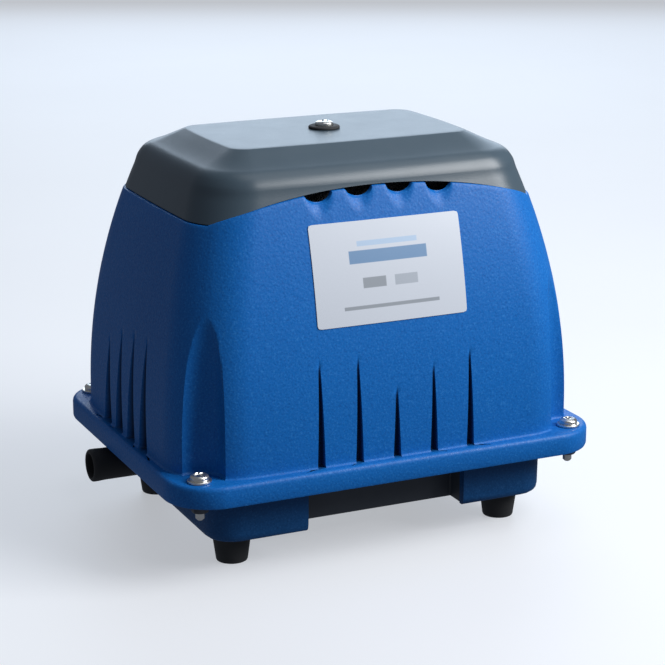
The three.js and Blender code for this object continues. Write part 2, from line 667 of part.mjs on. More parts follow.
function coil(name) {
  const outline = roundedRectangle(BOBBIN.hx - 1.5, BOBBIN.hz - 1.5, 8);
  const from = BOBBIN.from + BOBBIN.cheek + GAP;
  const to = BOBBIN.to - BOBBIN.cheek - GAP;
  const holeX = CORE.leg + 0.4 + BOBBIN.tube + GAP;
  const holeZ = CORE.height / 2 + 0.4 + BOBBIN.tube + GAP;
  const geometry = new THREE.ExtrudeGeometry(new THREE.Shape(outline), { depth: to - from, bevelEnabled: false });
  const winding = solid(geometry.rotateX(Math.PI / 2).translate(0, to, AXIS_Z));
  return part(name, cut(winding, box([-holeX, from - 1, AXIS_Z - holeZ], [holeX, to + 1, AXIS_Z + holeZ])), COPPER);
}

// ---- compressor heads ------------------------------------------------------

function headOutline(half, radius) {
  return roundedRectangle(half, half, radius).map(({ x, y }) => new THREE.Vector2(x, y + AXIS_Z));
}

/** Valve box of the right-hand head, with a dished chamber and two ports. */
function valveBox(name) {
  const block = uprightPlate(headOutline(HEAD.half, HEAD.radius), HEAD.near, HEAD.far);
  const dish = bar('x', HEAD.dish, HEAD.near - 1, HEAD.floor, [0, 0, AXIS_Z], 20);
  const ports = [-1, 1].map((side) => (
    bar('x', PORT.radius, HEAD.floor - 1, HEAD.far + 1, [0, 0, AXIS_Z + side * PORT.rise], 12)
  ));
  return part(name, cut(block, dish, ...ports), ALUMINIUM);
}

/** Chest over the valves: intake chamber above, delivery chamber below. */
function headCover(name) {
  const { near, far, wall } = CHEST;
  const block = uprightPlate(headOutline(HEAD.half, HEAD.radius), near, far);
  const inner = HEAD.half - wall - 2;
  const chambers = [-1, 1].map((side) => {
    const [low, high] = side > 0 ? [1.5, inner] : [-inner, -1.5];
    return box([near - 1, -inner, AXIS_Z + low], [far - wall, inner, AXIS_Z + high]);
  });
  const inlet = box([near + 3, -14, AXIS_Z + inner - 1], [far - wall - 1, 14, AXIS_Z + HEAD.half + 1]);
  const spigot = bar('z', SPIGOT.radius, 67, AXIS_Z - HEAD.half + 0.5, [SPIGOT.x, 0, 0]);
  const bore = bar('z', SPIGOT.bore, 60, AXIS_Z - inner + 1, [SPIGOT.x, 0, 0]);
  return part(name, cut(join(cut(block, ...chambers), spigot), inlet, bore), ALUMINIUM);
}

/** Rubber diaphragm: a hub disc, one rolled convolution and a clamped rim. */
function diaphragm(name) {
  const roll = { inner: 17, outer: 30, height: 4.2 };
  const steps = 4;
  const crest = (radius, lift) => {
    const t = (radius - roll.inner) / (roll.outer - roll.inner);
    return 54.4 + lift + roll.height * Math.sin(Math.PI * t);
  };
  const back = [];
  const front = [];
  for (let i = 0; i <= steps; i += 1) {
    const radius = roll.inner + (roll.outer - roll.inner) * (i / steps);
    back.push([radius, crest(radius, 0)]);
    front.unshift([radius, crest(radius, 1.7)]);
  }
  const profile = [[4.6, 54.4], ...back, [35.5, 54.4], [35.5, 56.1], ...front, [4.6, 56.1]];
  return part(name, turned('x', profile, [0, 0, AXIS_Z], 16), BLACK_RUBBER);
}

/** Short bellows tube from a head down to the tank. */
function connectorTube(name) {
  const bore = SPIGOT.radius + GAP;
  const profile = [
    [bore, 48.5], [7, 48.5], [7, 54.5], [6.2, 56], [7.6, 58], [6.2, 60], [7, 61.5], [7, 68.5], [bore, 68.5],
  ];
  return part(name, turned('z', profile, [SPIGOT.x, 0, 0], 12), BLACK_RUBBER);
}

// ---- armature and valve flaps ----------------------------------------------

function armatureRod() {
  const { half, radius, barHalf, barY, barZ } = ROD;
  const blade = box([-barHalf, -barY, AXIS_Z - barZ], [barHalf, barY, AXIS_Z + barZ]);
  const windows = [-1, 1].map((side) => {
    const [low, high] = side > 0 ? [MAGNET.near, MAGNET.far] : [-MAGNET.far, -MAGNET.near];
    const span = MAGNET.z + GAP;
    return box([low - GAP, -10, AXIS_Z - span], [high + GAP, 10, AXIS_Z + span]);
  });
  const shaft = bar('x', radius, -half, half, [0, 0, AXIS_Z]);
  const inner = [-1, 1].map((side) => {
    const [low, high] = side > 0 ? [51.4, 54.1] : [-54.1, -51.4];
    return bar('x', 14, low, high, [0, 0, AXIS_Z]);
  });
  const windowless = cut(join(blade, shaft), ...windows);
  return part('armature_rod', join(windowless, ...inner), ALUMINIUM);
}

function magnet(name) {
  const { near, far, y, z } = MAGNET;
  return part(name, box([near, -y, AXIS_Z - z], [far, y, AXIS_Z + z]), FERRITE);
}

function diaphragmPlate(name) {
  const profile = [[4.4, 56.4], [14, 56.4], [15, 57.2], [15, 58.4], [6, 59], [4.4, 59]];
  return part(name, turned('x', profile, [0, 0, AXIS_Z], 16), ALUMINIUM);
}

function rodNut(name) {
  const centre = [0, 0, AXIS_Z];
  const nut = cut(bar('x', 7.5, 59.3, 63.6, centre, 6), bar('x', ROD.radius + GAP, 50, 70, centre));
  return part(name, nut, ZINC);
}

/** Rubber valve flap of the right-hand head, in front of one port. */
function valveFlap(name, near, centreZ) {
  const low = [near, -FLAP.width / 2, centreZ - FLAP.height / 2];
  const high = [near + FLAP.thickness, FLAP.width / 2, centreZ + FLAP.height / 2];
  return part(name, box(low, high), BLACK_RUBBER);
}

// ---- assembly --------------------------------------------------------------

const CORNER_NAMES = ['rear_right', 'rear_left', 'front_left', 'front_right'];

/** One named piece in each corner, in the order of atCorners. */
function inCorners(prefix, x, y, make) {
  let next = 0;
  return atCorners(x, y, (px, py) => {
    const name = `${prefix}_${CORNER_NAMES[next]}`;
    next += 1;
    return make(name, px, py);
  });
}

/** Pieces made for the right-hand end, and again for the left. */
function bothEnds(make) {
  return [...make('right'), ...make('left').map(turnedAbout)];
}

function outerPieces() {
  return [
    upperHousing(),
    ratingLabel(),
    lowerHousing(),
    housingGasket(),
    airTank(),
    tankLid(),
    outletHose(),
    outletClip(),
    ...inCorners('foot', FOOT.x, FOOT.y, foot),
    ...inCorners('flange_screw', SCREW.x, SCREW.y, flangeScrew),
    ...inCorners('flange_nut', SCREW.x, SCREW.y, flangeNut),
    cableGland(),
    glandNut(),
  ];
}

function filterPieces() {
  return [filterTray(), filterFoam(), filterCover(), coverWasher(), coverScrew()];
}

function motorPieces() {
  return [
    motorFrame(),
    terminalBlock(),
    ...inCorners('damper', DAMPER.x, DAMPER.y, damper),
    statorCore('stator_core_rear'),
    turnedAbout(statorCore('stator_core_front')),
    bobbin('bobbin_rear'),
    turnedAbout(bobbin('bobbin_front')),
    coil('coil_rear'),
    turnedAbout(coil('coil_front')),
    armatureRod(),
  ];
}

function endPieces(side) {
  return [
    valveBox(`valve_box_${side}`),
    headCover(`head_cover_${side}`),
    diaphragm(`diaphragm_${side}`),
    connectorTube(`connector_tube_${side}`),
    magnet(`magnet_${side}`),
    diaphragmPlate(`diaphragm_plate_${side}`),
    rodNut(`rod_nut_${side}`),
    valveFlap(`intake_flap_${side}`, HEAD.floor - GAP - FLAP.thickness, AXIS_Z + PORT.rise),
    valveFlap(`delivery_flap_${side}`, HEAD.far + GAP, AXIS_Z - PORT.rise),
  ];
}

const airPump = new THREE.Group();
airPump.add(...outerPieces(), ...filterPieces(), ...motorPieces(), ...bothEnds(endPieces));
airPump.position.x = SHIFT_X;

export default airPump;
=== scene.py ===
"""Looks of a linear diaphragm air pump: blue cast housing, dark arched filter cover, rubber feet.

Every shape is worked out in millimetres about the middle of the flange, and is moved to the
row frame in metres when its mesh is made.
"""

import logging
import math
from dataclasses import dataclass
from enum import Enum

import bmesh
import bpy
import numpy as np
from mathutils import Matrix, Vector


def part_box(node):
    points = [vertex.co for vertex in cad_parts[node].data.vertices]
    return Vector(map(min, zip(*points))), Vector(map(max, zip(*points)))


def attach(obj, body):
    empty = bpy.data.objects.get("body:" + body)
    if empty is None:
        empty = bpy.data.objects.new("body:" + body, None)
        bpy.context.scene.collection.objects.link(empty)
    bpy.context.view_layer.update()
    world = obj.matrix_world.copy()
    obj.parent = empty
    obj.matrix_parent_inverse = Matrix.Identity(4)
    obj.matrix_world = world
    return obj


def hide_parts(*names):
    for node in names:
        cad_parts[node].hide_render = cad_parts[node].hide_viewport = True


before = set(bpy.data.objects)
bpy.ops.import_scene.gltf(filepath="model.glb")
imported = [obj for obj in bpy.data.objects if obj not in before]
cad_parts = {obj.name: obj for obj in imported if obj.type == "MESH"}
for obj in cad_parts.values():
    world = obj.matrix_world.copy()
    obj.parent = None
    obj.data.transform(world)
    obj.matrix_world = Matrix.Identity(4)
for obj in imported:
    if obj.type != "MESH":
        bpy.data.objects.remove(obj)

LOG = logging.getLogger("air_pump")
MM = 0.001
# Point attribute that carries the painted shade in the housing's grooves.
GROOVE_SHADE_ATTRIBUTE = "recess"
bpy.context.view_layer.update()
Colour = tuple[float, float, float]
Point = tuple[float, float, float]


class Side(Enum):
    """The four sides of the housing, in turning order seen from above."""

    FRONT = 0
    RIGHT = 1
    REAR = 2
    LEFT = 3

    @property
    def is_long(self) -> bool:
        """True for the front and the rear."""
        return self in (Side.FRONT, Side.REAR)


class Axis(Enum):
    """Axis that a turned piece is turned about."""

    X = 0
    Y = 1
    Z = 2


def centre_of(node: str) -> np.ndarray:
    """Middle of a CAD node's box, in metres."""
    low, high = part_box(node)
    return (np.array(low) + np.array(high)) / 2


MIDDLE_X = float(centre_of("upper_housing")[0])
CORNERS = (("rear_right", 1, 1), ("rear_left", -1, 1), ("front_left", -1, -1), ("front_right", 1, -1))


# ---- meshes ------------------------------------------------------------------


def grid_quads(rows: int, columns: int, ring: bool = True, tube: bool = False) -> np.ndarray:
    """Quads of a grid of points stored row by row.

    Args:
        rows: number of rows of points.
        columns: number of points in a row.
        ring: the last column joins the first.
        tube: the last row joins the first.

    Returns:
        Array of vertex numbers, four for each face.
    """
    row_steps = rows if tube else rows - 1
    column_steps = columns if ring else columns - 1
    r, c = np.meshgrid(np.arange(row_steps), np.arange(column_steps), indexing="ij")
    r2, c2 = (r + 1) % rows, (c + 1) % columns
    corners = [r * columns + c, r * columns + c2, r2 * columns + c2, r2 * columns + c]
    return np.stack(corners, axis=-1).reshape(-1, 4)


def fan_tris(start: int, count: int, pole: int, flip: bool = False) -> np.ndarray:
    """Triangles from a ring of points to one pole point.

    Args:
        start: number of the ring's first point.
        count: number of points in the ring.
        pole: number of the pole point.
        flip: turns the faces over.

    Returns:
        Array of vertex numbers, three for each face.
    """
    here = start + np.arange(count)
    after = start + (np.arange(count) + 1) % count
    poles = np.full(count, pole)
    return np.stack([after, here, poles] if flip else [here, after, poles], axis=-1)


def make_piece(
    name: str, points: np.ndarray, faces: list[np.ndarray], sharp: float = 35.0
) -> bpy.types.Object:
    """A smooth-shaded mesh object at the origin, from points in millimetres about the housing's middle.

    Args:
        name: the piece's name.
        points: N by 3 array of places.
        faces: arrays of quads or triangles.
        sharp: edges that turn more than this many degrees stay crisp.

    Returns:
        The new object, with its normals pointing outward.
    """
    mesh = bpy.data.meshes.new(name)
    places = points * MM + np.array([MIDDLE_X, 0.0, 0.0])
    mesh.from_pydata(places.tolist(), [], [face for block in faces for face in block.tolist()])
    work = bmesh.new()
    work.from_mesh(mesh)
    bmesh.ops.remove_doubles(work, verts=work.verts, dist=1e-6)
    bmesh.ops.recalc_face_normals(work, faces=work.faces)
    work.to_mesh(mesh)
    work.free()
    mesh.polygons.foreach_set("use_smooth", np.ones(len(mesh.polygons), dtype=bool))
    mesh.set_sharp_from_angle(angle=math.radians(sharp))
    mesh.validate()
    piece = bpy.data.objects.new(name, mesh)
    bpy.context.scene.collection.objects.link(piece)
    return piece


def settle(piece: bpy.types.Object, body: str, material: bpy.types.Material, slot: str, *nodes: str) -> None:
    """Dresses a piece, joins it to its body and lets it stand for CAD nodes.

    Args:
        piece: the finished piece.
        body: name of the CAD body that it rides on.
        material: its finish.
        slot: the record's material slot; not used.
        nodes: the CAD nodes that it replaces.
    """
    piece.data.materials.clear()
    piece.data.materials.append(material)
    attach(piece, body)
    if nodes:
        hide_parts(*nodes)
    LOG.info("%s on %s, %d faces", piece.name, body, len(piece.data.polygons))


def dress_nodes(material: bpy.types.Material, *names: str) -> None:
    """Gives carried-over CAD nodes a finish.

    Args:
        material: the finish.
        names: the nodes.
    """
    for name in names:
        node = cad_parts[name]
        node.data.materials.clear()
        node.data.materials.append(material)
        LOG.info("%s keeps its CAD shape", name)


def refined_copy(node: str, name: str, bevel: float, segments: int = 3) -> bpy.types.Object:
    """Copy of a CAD node with its points merged, flat faces joined and edges rounded.

    Args:
        node: the CAD node.
        name: the new piece's name.
        bevel: edge radius in millimetres.
        segments: steps in the rounded edge.

    Returns:
        The new object, which doesn't replace the node yet.
    """
    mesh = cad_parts[node].data.copy()
    mesh.name = name
    work = bmesh.new()
    work.from_mesh(mesh)
    bmesh.ops.remove_doubles(work, verts=work.verts, dist=2e-6)
    bmesh.ops.dissolve_limit(work, angle_limit=math.radians(0.5), verts=work.verts, edges=work.edges)
    bmesh.ops.recalc_face_normals(work, faces=work.faces)
    work.to_mesh(mesh)
    work.free()
    mesh.materials.clear()
    piece = bpy.data.objects.new(name, mesh)
    bpy.context.scene.collection.objects.link(piece)
    rounding = piece.modifiers.new("edges", "BEVEL")
    rounding.width = bevel * MM
    rounding.segments = segments
    rounding.limit_method = "ANGLE"
    rounding.angle_limit = math.radians(40)
    rounding.harden_normals = True
    mesh.polygons.foreach_set("use_smooth", np.ones(len(mesh.polygons), dtype=bool))
    mesh.set_sharp_from_angle(angle=math.radians(35))
    return piece


def full_turn(steps: int) -> np.ndarray:
    """Evenly spaced angles of one whole turn, in radians."""
    return np.arange(steps) * 2 * math.pi / steps


def smooth_step(t: np.ndarray) -> np.ndarray:
    """Eases from 0 to 1: three t squared less two t cubed, held at the ends."""
    t = np.clip(t, 0.0, 1.0)
    return t * t * (3 - 2 * t)


@dataclass
class Turned:
    """A round piece: a closed profile of (radius, place along the axis), turned about an axis."""

    profile: list[tuple[float, float]]
    axis: Axis
    centre: tuple[float, float, float]
    steps: int = 64
    round_off: float = 0.4

    def rounded(self) -> np.ndarray:
        """Profile with each corner cut by a short arc.

        Each corner point becomes three: one before it, one pulled in towards the chord, one after it.
        """
        points = np.array(self.profile, dtype=float)
        before = np.roll(points, 1, axis=0) - points
        after = np.roll(points, -1, axis=0) - points
        long_before = np.linalg.norm(before, axis=1, keepdims=True)
        long_after = np.linalg.norm(after, axis=1, keepdims=True)
        reach = np.minimum(self.round_off, np.minimum(long_before, long_after) * 0.4)
        first = points + before / long_before * reach
        last = points + after / long_after * reach
        middle = points * 0.5 + (first + last) * 0.25
        on_axis = points[:, :1] < 1e-6
        first, middle, last = (np.where(on_axis, points, p) for p in (first, middle, last))
        return np.stack([first, middle, last], axis=1).reshape(-1, 2)

    def build(self, name: str, sharp: float = 35.0) -> bpy.types.Object:
        """The turned mesh: radius times cosine and sine of the turning angle, at each profile place.

        Args:
            name: the piece's name.
            sharp: crisp-edge angle in degrees.

        Returns:
            The new object.
        """
        profile = self.rounded()
        angle = full_turn(self.steps)
        along = np.repeat(profile[:, 1:], self.steps, axis=1)
        across = profile[:, :1] * np.cos(angle)
        beside = profile[:, :1] * np.sin(angle)
        order = {
            Axis.X: (along, across, beside),
            Axis.Y: (beside, along, across),
            Axis.Z: (across, beside, along),
        }
        points = np.stack(order[self.axis], axis=-1).reshape(-1, 3) + np.array(self.centre)
        return make_piece(name, points, [grid_quads(len(profile), self.steps, tube=True)], sharp)


# ---- the moulded outer form ----------------------------------------------------


@dataclass(frozen=True)
class Grooves:
    """Pointed upright grooves in one side of the housing."""

    places: tuple[float, ...]
    width: float
    depth: float
    tops: tuple[float, ...]
    columns: tuple[float, ...] = (0.0, 0.12, 0.25, 0.5, 0.75, 0.88, 1.0)

    def half_width(self, number: int, z: np.ndarray, foot: float) -> np.ndarray:
        """Half width at a height: it runs down in a straight line to a narrow tip."""
        climb = np.clip((z - foot) / (self.tops[number] - foot), 0.0, 1.0)
        return self.width / 2 + (0.5 - self.width / 2) * climb


@dataclass(frozen=True)
class Scallops:
    """Dished notches in the housing's top edge, where the air goes in."""

    places: tuple[float, ...] = (-34.3, -11.4, 11.4, 34.3)
    half_x: float = 7.7
    half_z: float = 6.3
    lift: float = 1.3
    dish_depth: float = 2.6
    dish_half_x: float = 7.4
    dish_fall: float = 11.0
    narrow_half: float = 4.0
    narrow_to: float = 125.0
    wide_from: float = 165.0

    def column_half(self, z: np.ndarray) -> np.ndarray:
        """Half width of the notch's columns: its true width at the edge, and less between the grooves."""
        notch = self.half_x * math.sqrt(1 - (self.lift / self.half_z) ** 2)
        climb = smooth_step((z - self.narrow_to) / (self.wide_from - self.narrow_to))
        return self.narrow_half + (notch - self.narrow_half) * climb


@dataclass
class HousingForm:
    """The tapered body as a section for each height, with grooves, pockets and the arched edge."""

    foot: float = 56.0
    rise: float = 138.0
    foot_x: float = 117.0
    foot_y: float = 91.0
    shrink_x: float = 22.5
    shrink_y: float = 23.5
    power: float = 2.12
    corner: float = 35.0
    corner_shrink: float = 7.0
    bulge: float = 2.0
    arch_end: float = 180.0
    arch_rise: float = 14.5
    arch_half: float = 88.0
    arch_power: float = 0.7
    flange_top: float = 55.6
    screw_x: float = 107.0
    screw_y: float = 83.7
    pocket: float = 13.0
    front: Grooves = Grooves((-43.7, -21.85, 0.0, 21.85, 43.7), 4.5, 4.0, (112.0, 112.0, 94.0, 104.0, 109.0))
    end: Grooves = Grooves((-28.5, -9.5, 9.5, 28.5), 12.5, 6.0, (104.0, 113.0, 116.0, 117.0))
    scallops: Scallops = Scallops()
    flat_columns: int = 14
    end_flat_columns: int = 8
    gap_columns: int = 3
    notch_columns: int = 12
    end_gap_columns: int = 5
    corner_columns: int = 6
    pocket_columns: int = 18
    groove_slope: float = 0.25
    pocket_shrink: float = 0.8
    bow_at_corner: float = 1.4

    def half(self, z: np.ndarray) -> tuple[np.ndarray, np.ndarray, np.ndarray]:
        """Half sizes and corner radius at a height: the body leans in by a power of the height."""
        t = np.maximum(0.0, (z - self.foot) / self.rise)
        lean = t**self.power
        return (
            self.foot_x - self.shrink_x * lean,
            self.foot_y - self.shrink_y * lean,
            self.corner - self.corner_shrink * t,
        )

    def edge(self, x: np.ndarray) -> np.ndarray:
        """Height of the arched parting edge: its ends' height plus a share of the rise.

        The share is a power of 1 less the square of x over the half span.
        """
        inside = np.maximum(0.0, 1 - (x / self.arch_half) ** 2)
        return self.arch_end + self.arch_rise * inside**self.arch_power

    def local_half(self, side: Side, z: np.ndarray, inset: float) -> tuple[np.ndarray, ...]:
        """Half size along a side, half size out to it and corner radius, moved in by an inset."""
        hx, hy, radius = self.half(z)
        along, out = (hx, hy) if side.is_long else (hy, hx)
        return along - inset, out - inset, radius - inset

    def groove_depth(self, side: Side, number: int, z: np.ndarray) -> np.ndarray:
        """Depth of a groove: the face's place less a straight floor that meets the face at the tip."""
        grooves = self.front if side.is_long else self.end
        top = grooves.tops[number]
        foot_face = self.local_half(side, np.array(self.foot), 0.0)[1]
        top_face = self.local_half(side, np.array(top), 0.0)[1]
        climb = (z - self.flange_top) / (top - self.flange_top)
        floor = foot_face - grooves.depth + (top_face + 0.2 - foot_face + grooves.depth) * climb
        return np.maximum(0.0, self.local_half(side, z, 0.0)[1] - floor)

    def side_columns(self, side: Side) -> list[tuple[int, int, np.ndarray]]:
        """Column plan of a side: (break before, break after, shares of the way between them)."""
        grooves = self.front if side.is_long else self.end
        flat = self.flat_columns if side.is_long else self.end_flat_columns
        plan = [(0, 1, np.arange(flat) / flat)]
        spot = 1
        for number in range(len(grooves.places)):
            plan.append((spot, spot + 1, np.array(grooves.columns[:-1])))
            spot += 1
            if number < len(grooves.places) - 1 and side.is_long:
                gap = np.arange(self.gap_columns) / self.gap_columns
                swing = (1 - np.cos(np.arange(self.notch_columns) * math.pi / self.notch_columns)) / 2
                plan += [(spot, spot + 1, gap), (spot + 1, spot + 2, swing), (spot + 2, spot + 3, gap)]
                spot += 3
            elif number < len(grooves.places) - 1:
                plan.append((spot, spot + 1, np.arange(self.end_gap_columns) / self.end_gap_columns))
                spot += 1
        plan.append((spot, spot + 1, np.arange(flat) / flat))
        return plan

    def side_breaks(self, side: Side, z: np.ndarray, reach: np.ndarray) -> list[np.ndarray]:
        """Places along a side where its columns change pace: groove edges and notch edges."""
        grooves = self.front if side.is_long else self.end
        breaks = [-reach]
        notch = self.scallops.column_half(z)
        for number, place in enumerate(grooves.places):
            wide = grooves.half_width(number, z, self.flange_top)
            breaks += [place - wide, place + wide]
            if number < len(grooves.places) - 1 and side.is_long:
                middle = self.scallops.places[number]
                breaks += [middle - notch, middle + notch]
        breaks.append(reach)
        return breaks

    def side_strip(self, side: Side, z: np.ndarray, inset: float, cut: bool) -> tuple[np.ndarray, np.ndarray]:
        """Points of one side and the corner after it, as (along, out) in the side's own frame.

        The side is a straight run with grooves, the corner a quarter circle with a round pocket.

        Args:
            side: which side.
            z: heights, one row for each ring and one column for each column of the strip.
            inset: how far inside the outer face.
            cut: cuts the grooves and the pocket.

        Returns:
            Arrays of the along and out coordinates.
        """
        half_a, half_o, radius = self.local_half(side, z, inset)
        plan = self.side_columns(side)
        straight = sum(len(shares) for _, _, shares in plan)
        reach = half_a - radius
        along = np.empty_like(z)
        depth = np.zeros_like(z)
        column = 0
        breaks = self.side_breaks(side, z, reach)
        groove_spots = self.groove_spots(side)
        for before, after, shares in plan:
            block = slice(column, column + len(shares))
            low, high = breaks[before][:, block], breaks[after][:, block]
            along[:, block] = low + (high - low) * shares
            if cut and before in groove_spots:
                floor = smooth_step(np.minimum(shares, 1 - shares) / self.groove_slope)
                depth[:, block] = floor * self.groove_depth(side, groove_spots[before], z[:, block])
            column += len(shares)
        out = half_o + 0.0 * z
        turn = self.corner_angles(side, z[:, straight:], inset)
        wide = (slice(None), slice(straight, None))
        along[wide] = reach[wide] + radius[wide] * np.sin(turn)
        out[wide] = (half_o - radius)[wide] + radius[wide] * np.cos(turn)
        bowed_a, bowed_o = bow(along, out, half_a, half_o, self.bulge)
        if cut:
            pulled = self.cut_pocket(side, z[wide], bowed_a[wide], bowed_o[wide], inset)
            bowed_a[wide], bowed_o[wide] = pulled
        return bowed_a, bowed_o - depth

    def groove_spots(self, side: Side) -> dict[int, int]:
        """Number of the break before each groove, to the groove's number."""
        grooves = self.front if side.is_long else self.end
        pace = 4 if side.is_long else 2
        return {1 + pace * number: number for number in range(len(grooves.places))}

    def pocket_polar(self, side: Side, z: np.ndarray) -> tuple[np.ndarray, ...]:
        """Corner centre, and the pocket's distance and bearing from it, in the side's frame."""
        half_a, half_o, radius = self.local_half(side, z, 0.0)
        screw_a, screw_o = (self.screw_x, self.screw_y) if side.is_long else (self.screw_y, self.screw_x)
        centre_a, centre_o = half_a - radius, half_o - radius
        step_a, step_o = screw_a - centre_a, screw_o - centre_o
        return centre_a, centre_o, np.hypot(step_a, step_o), np.arctan2(step_a, step_o)

    def corner_angles(self, side: Side, z: np.ndarray, inset: float) -> np.ndarray:
        """Angles of the corner's columns: even outside the pocket, and by a sine across it.

        The pocket's half angle comes from the cosine rule on the corner circle and the pocket circle.
        """
        radius = self.local_half(side, z, inset)[2] - self.bow_at_corner
        _, _, distance, bearing = self.pocket_polar(side, z)
        pocket = self.pocket + inset * self.pocket_shrink
        cosine = (radius**2 + distance**2 - pocket**2) / (2 * radius * distance)
        spread = np.maximum(np.arccos(np.clip(cosine, -1.0, 1.0)), math.radians(3))
        before = np.arange(self.corner_columns) / self.corner_columns
        across = np.sin((np.arange(self.pocket_columns) / self.pocket_columns - 0.5) * math.pi)
        first = (bearing - spread)[:, : self.corner_columns] * before
        middle = slice(self.corner_columns, self.corner_columns + self.pocket_columns)
        second = bearing[:, middle] + spread[:, middle] * across
        last = slice(self.corner_columns + self.pocket_columns, None)
        start = (bearing + spread)[:, last]
        return np.hstack([first, second, start + (math.pi / 2 - start) * before])

    def cut_pocket(
        self, side: Side, z: np.ndarray, along: np.ndarray, out: np.ndarray, inset: float
    ) -> tuple[np.ndarray, np.ndarray]:
        """Pulls corner points back to the pocket's circle, along rays from the corner's centre."""
        centre_a, centre_o, distance, bearing = self.pocket_polar(side, z)
        step_a, step_o = along - centre_a, out - centre_o
        reach = np.hypot(step_a, step_o)
        turn = np.arctan2(step_a, step_o) - bearing
        pocket = self.pocket + inset * self.pocket_shrink
        inside = pocket**2 - (distance * np.sin(turn)) ** 2
        near = distance * np.cos(turn) - np.sqrt(np.maximum(inside, 0.0))
        share = np.where(inside > 0, np.minimum(near, reach), reach) / reach
        return centre_a + step_a * share, centre_o + step_o * share

    def ring(self, z: np.ndarray, inset: float = 0.0, cut: bool = True) -> np.ndarray:
        """Whole rings of the body.

        Args:
            z: heights, rows by the number of columns round the body.
            inset: how far inside the outer face.
            cut: cuts the grooves and pockets.

        Returns:
            Rows by columns by 3 array.
        """
        strips = []
        column = 0
        for side in Side:
            count = self.strip_columns(side)
            block = slice(column, column + count)
            along, out = self.side_strip(side, z[:, block], inset, cut)
            strips.append(place_strip(side, along, out))
            column += count
        flat = np.concatenate(strips, axis=1)
        return np.dstack([flat, z])

    def strip_columns(self, side: Side) -> int:
        """Number of columns in one side and its corner."""
        straight = sum(len(shares) for _, _, shares in self.side_columns(side))
        return straight + 2 * self.corner_columns + self.pocket_columns

    def columns(self) -> int:
        """Number of columns round the body."""
        return sum(self.strip_columns(side) for side in Side)


def bow(along: np.ndarray, out: np.ndarray, half_a: np.ndarray, half_o: np.ndarray, bulge: float) -> tuple:
    """Bows a side out in its middle: each coordinate shrinks by the bulge times the square of the other.

    Args:
        along: places along the side.
        out: places out from the middle.
        half_a: half size along the side.
        half_o: half size out to it.
        bulge: how far the middle stands proud of the corners.

    Returns:
        The bowed along and out coordinates.
    """
    bowed_a = along * (1 - (bulge / half_a) * (out / half_o) ** 2)
    bowed_o = out * (1 - (bulge / half_o) * (along / half_a) ** 2)
    return bowed_a, bowed_o


def place_strip(side: Side, along: np.ndarray, out: np.ndarray) -> np.ndarray:
    """Turns a side's own (along, out) coordinates into x and y."""
    turned = {
        Side.FRONT: (along, -out),
        Side.RIGHT: (out, along),
        Side.REAR: (-along, out),
        Side.LEFT: (-out, -along),
    }
    return np.stack(turned[side], axis=-1)


def rounded_ring(
    half_x: float, half_y: float, radius: float, bulge: float, sides: tuple[int, int], corner: int
) -> np.ndarray:
    """One rounded rectangle as points.

    Args:
        half_x: half length.
        half_y: half depth.
        radius: corner radius.
        bulge: how far each side bows out.
        sides: steps along the long and the short sides.
        corner: steps round each corner.

    Returns:
        Columns by 2 array, in turning order from the front's left end.
    """
    strips = []
    for side in Side:
        half_a, half_o = (half_x, half_y) if side.is_long else (half_y, half_x)
        count = sides[0] if side.is_long else sides[1]
        straight = (half_a - radius) * (2 * np.arange(count) / count - 1)
        turn = np.arange(corner) / corner * math.pi / 2
        along = np.concatenate([straight, half_a - radius + radius * np.sin(turn)])
        out = np.concatenate([np.full(count, half_o), half_o - radius + radius * np.cos(turn)])
        strips.append(place_strip(side, *bow(along, out, half_a, half_o, bulge)))
    return np.concatenate(strips)


# ---- finishes --------------------------------------------------------------------


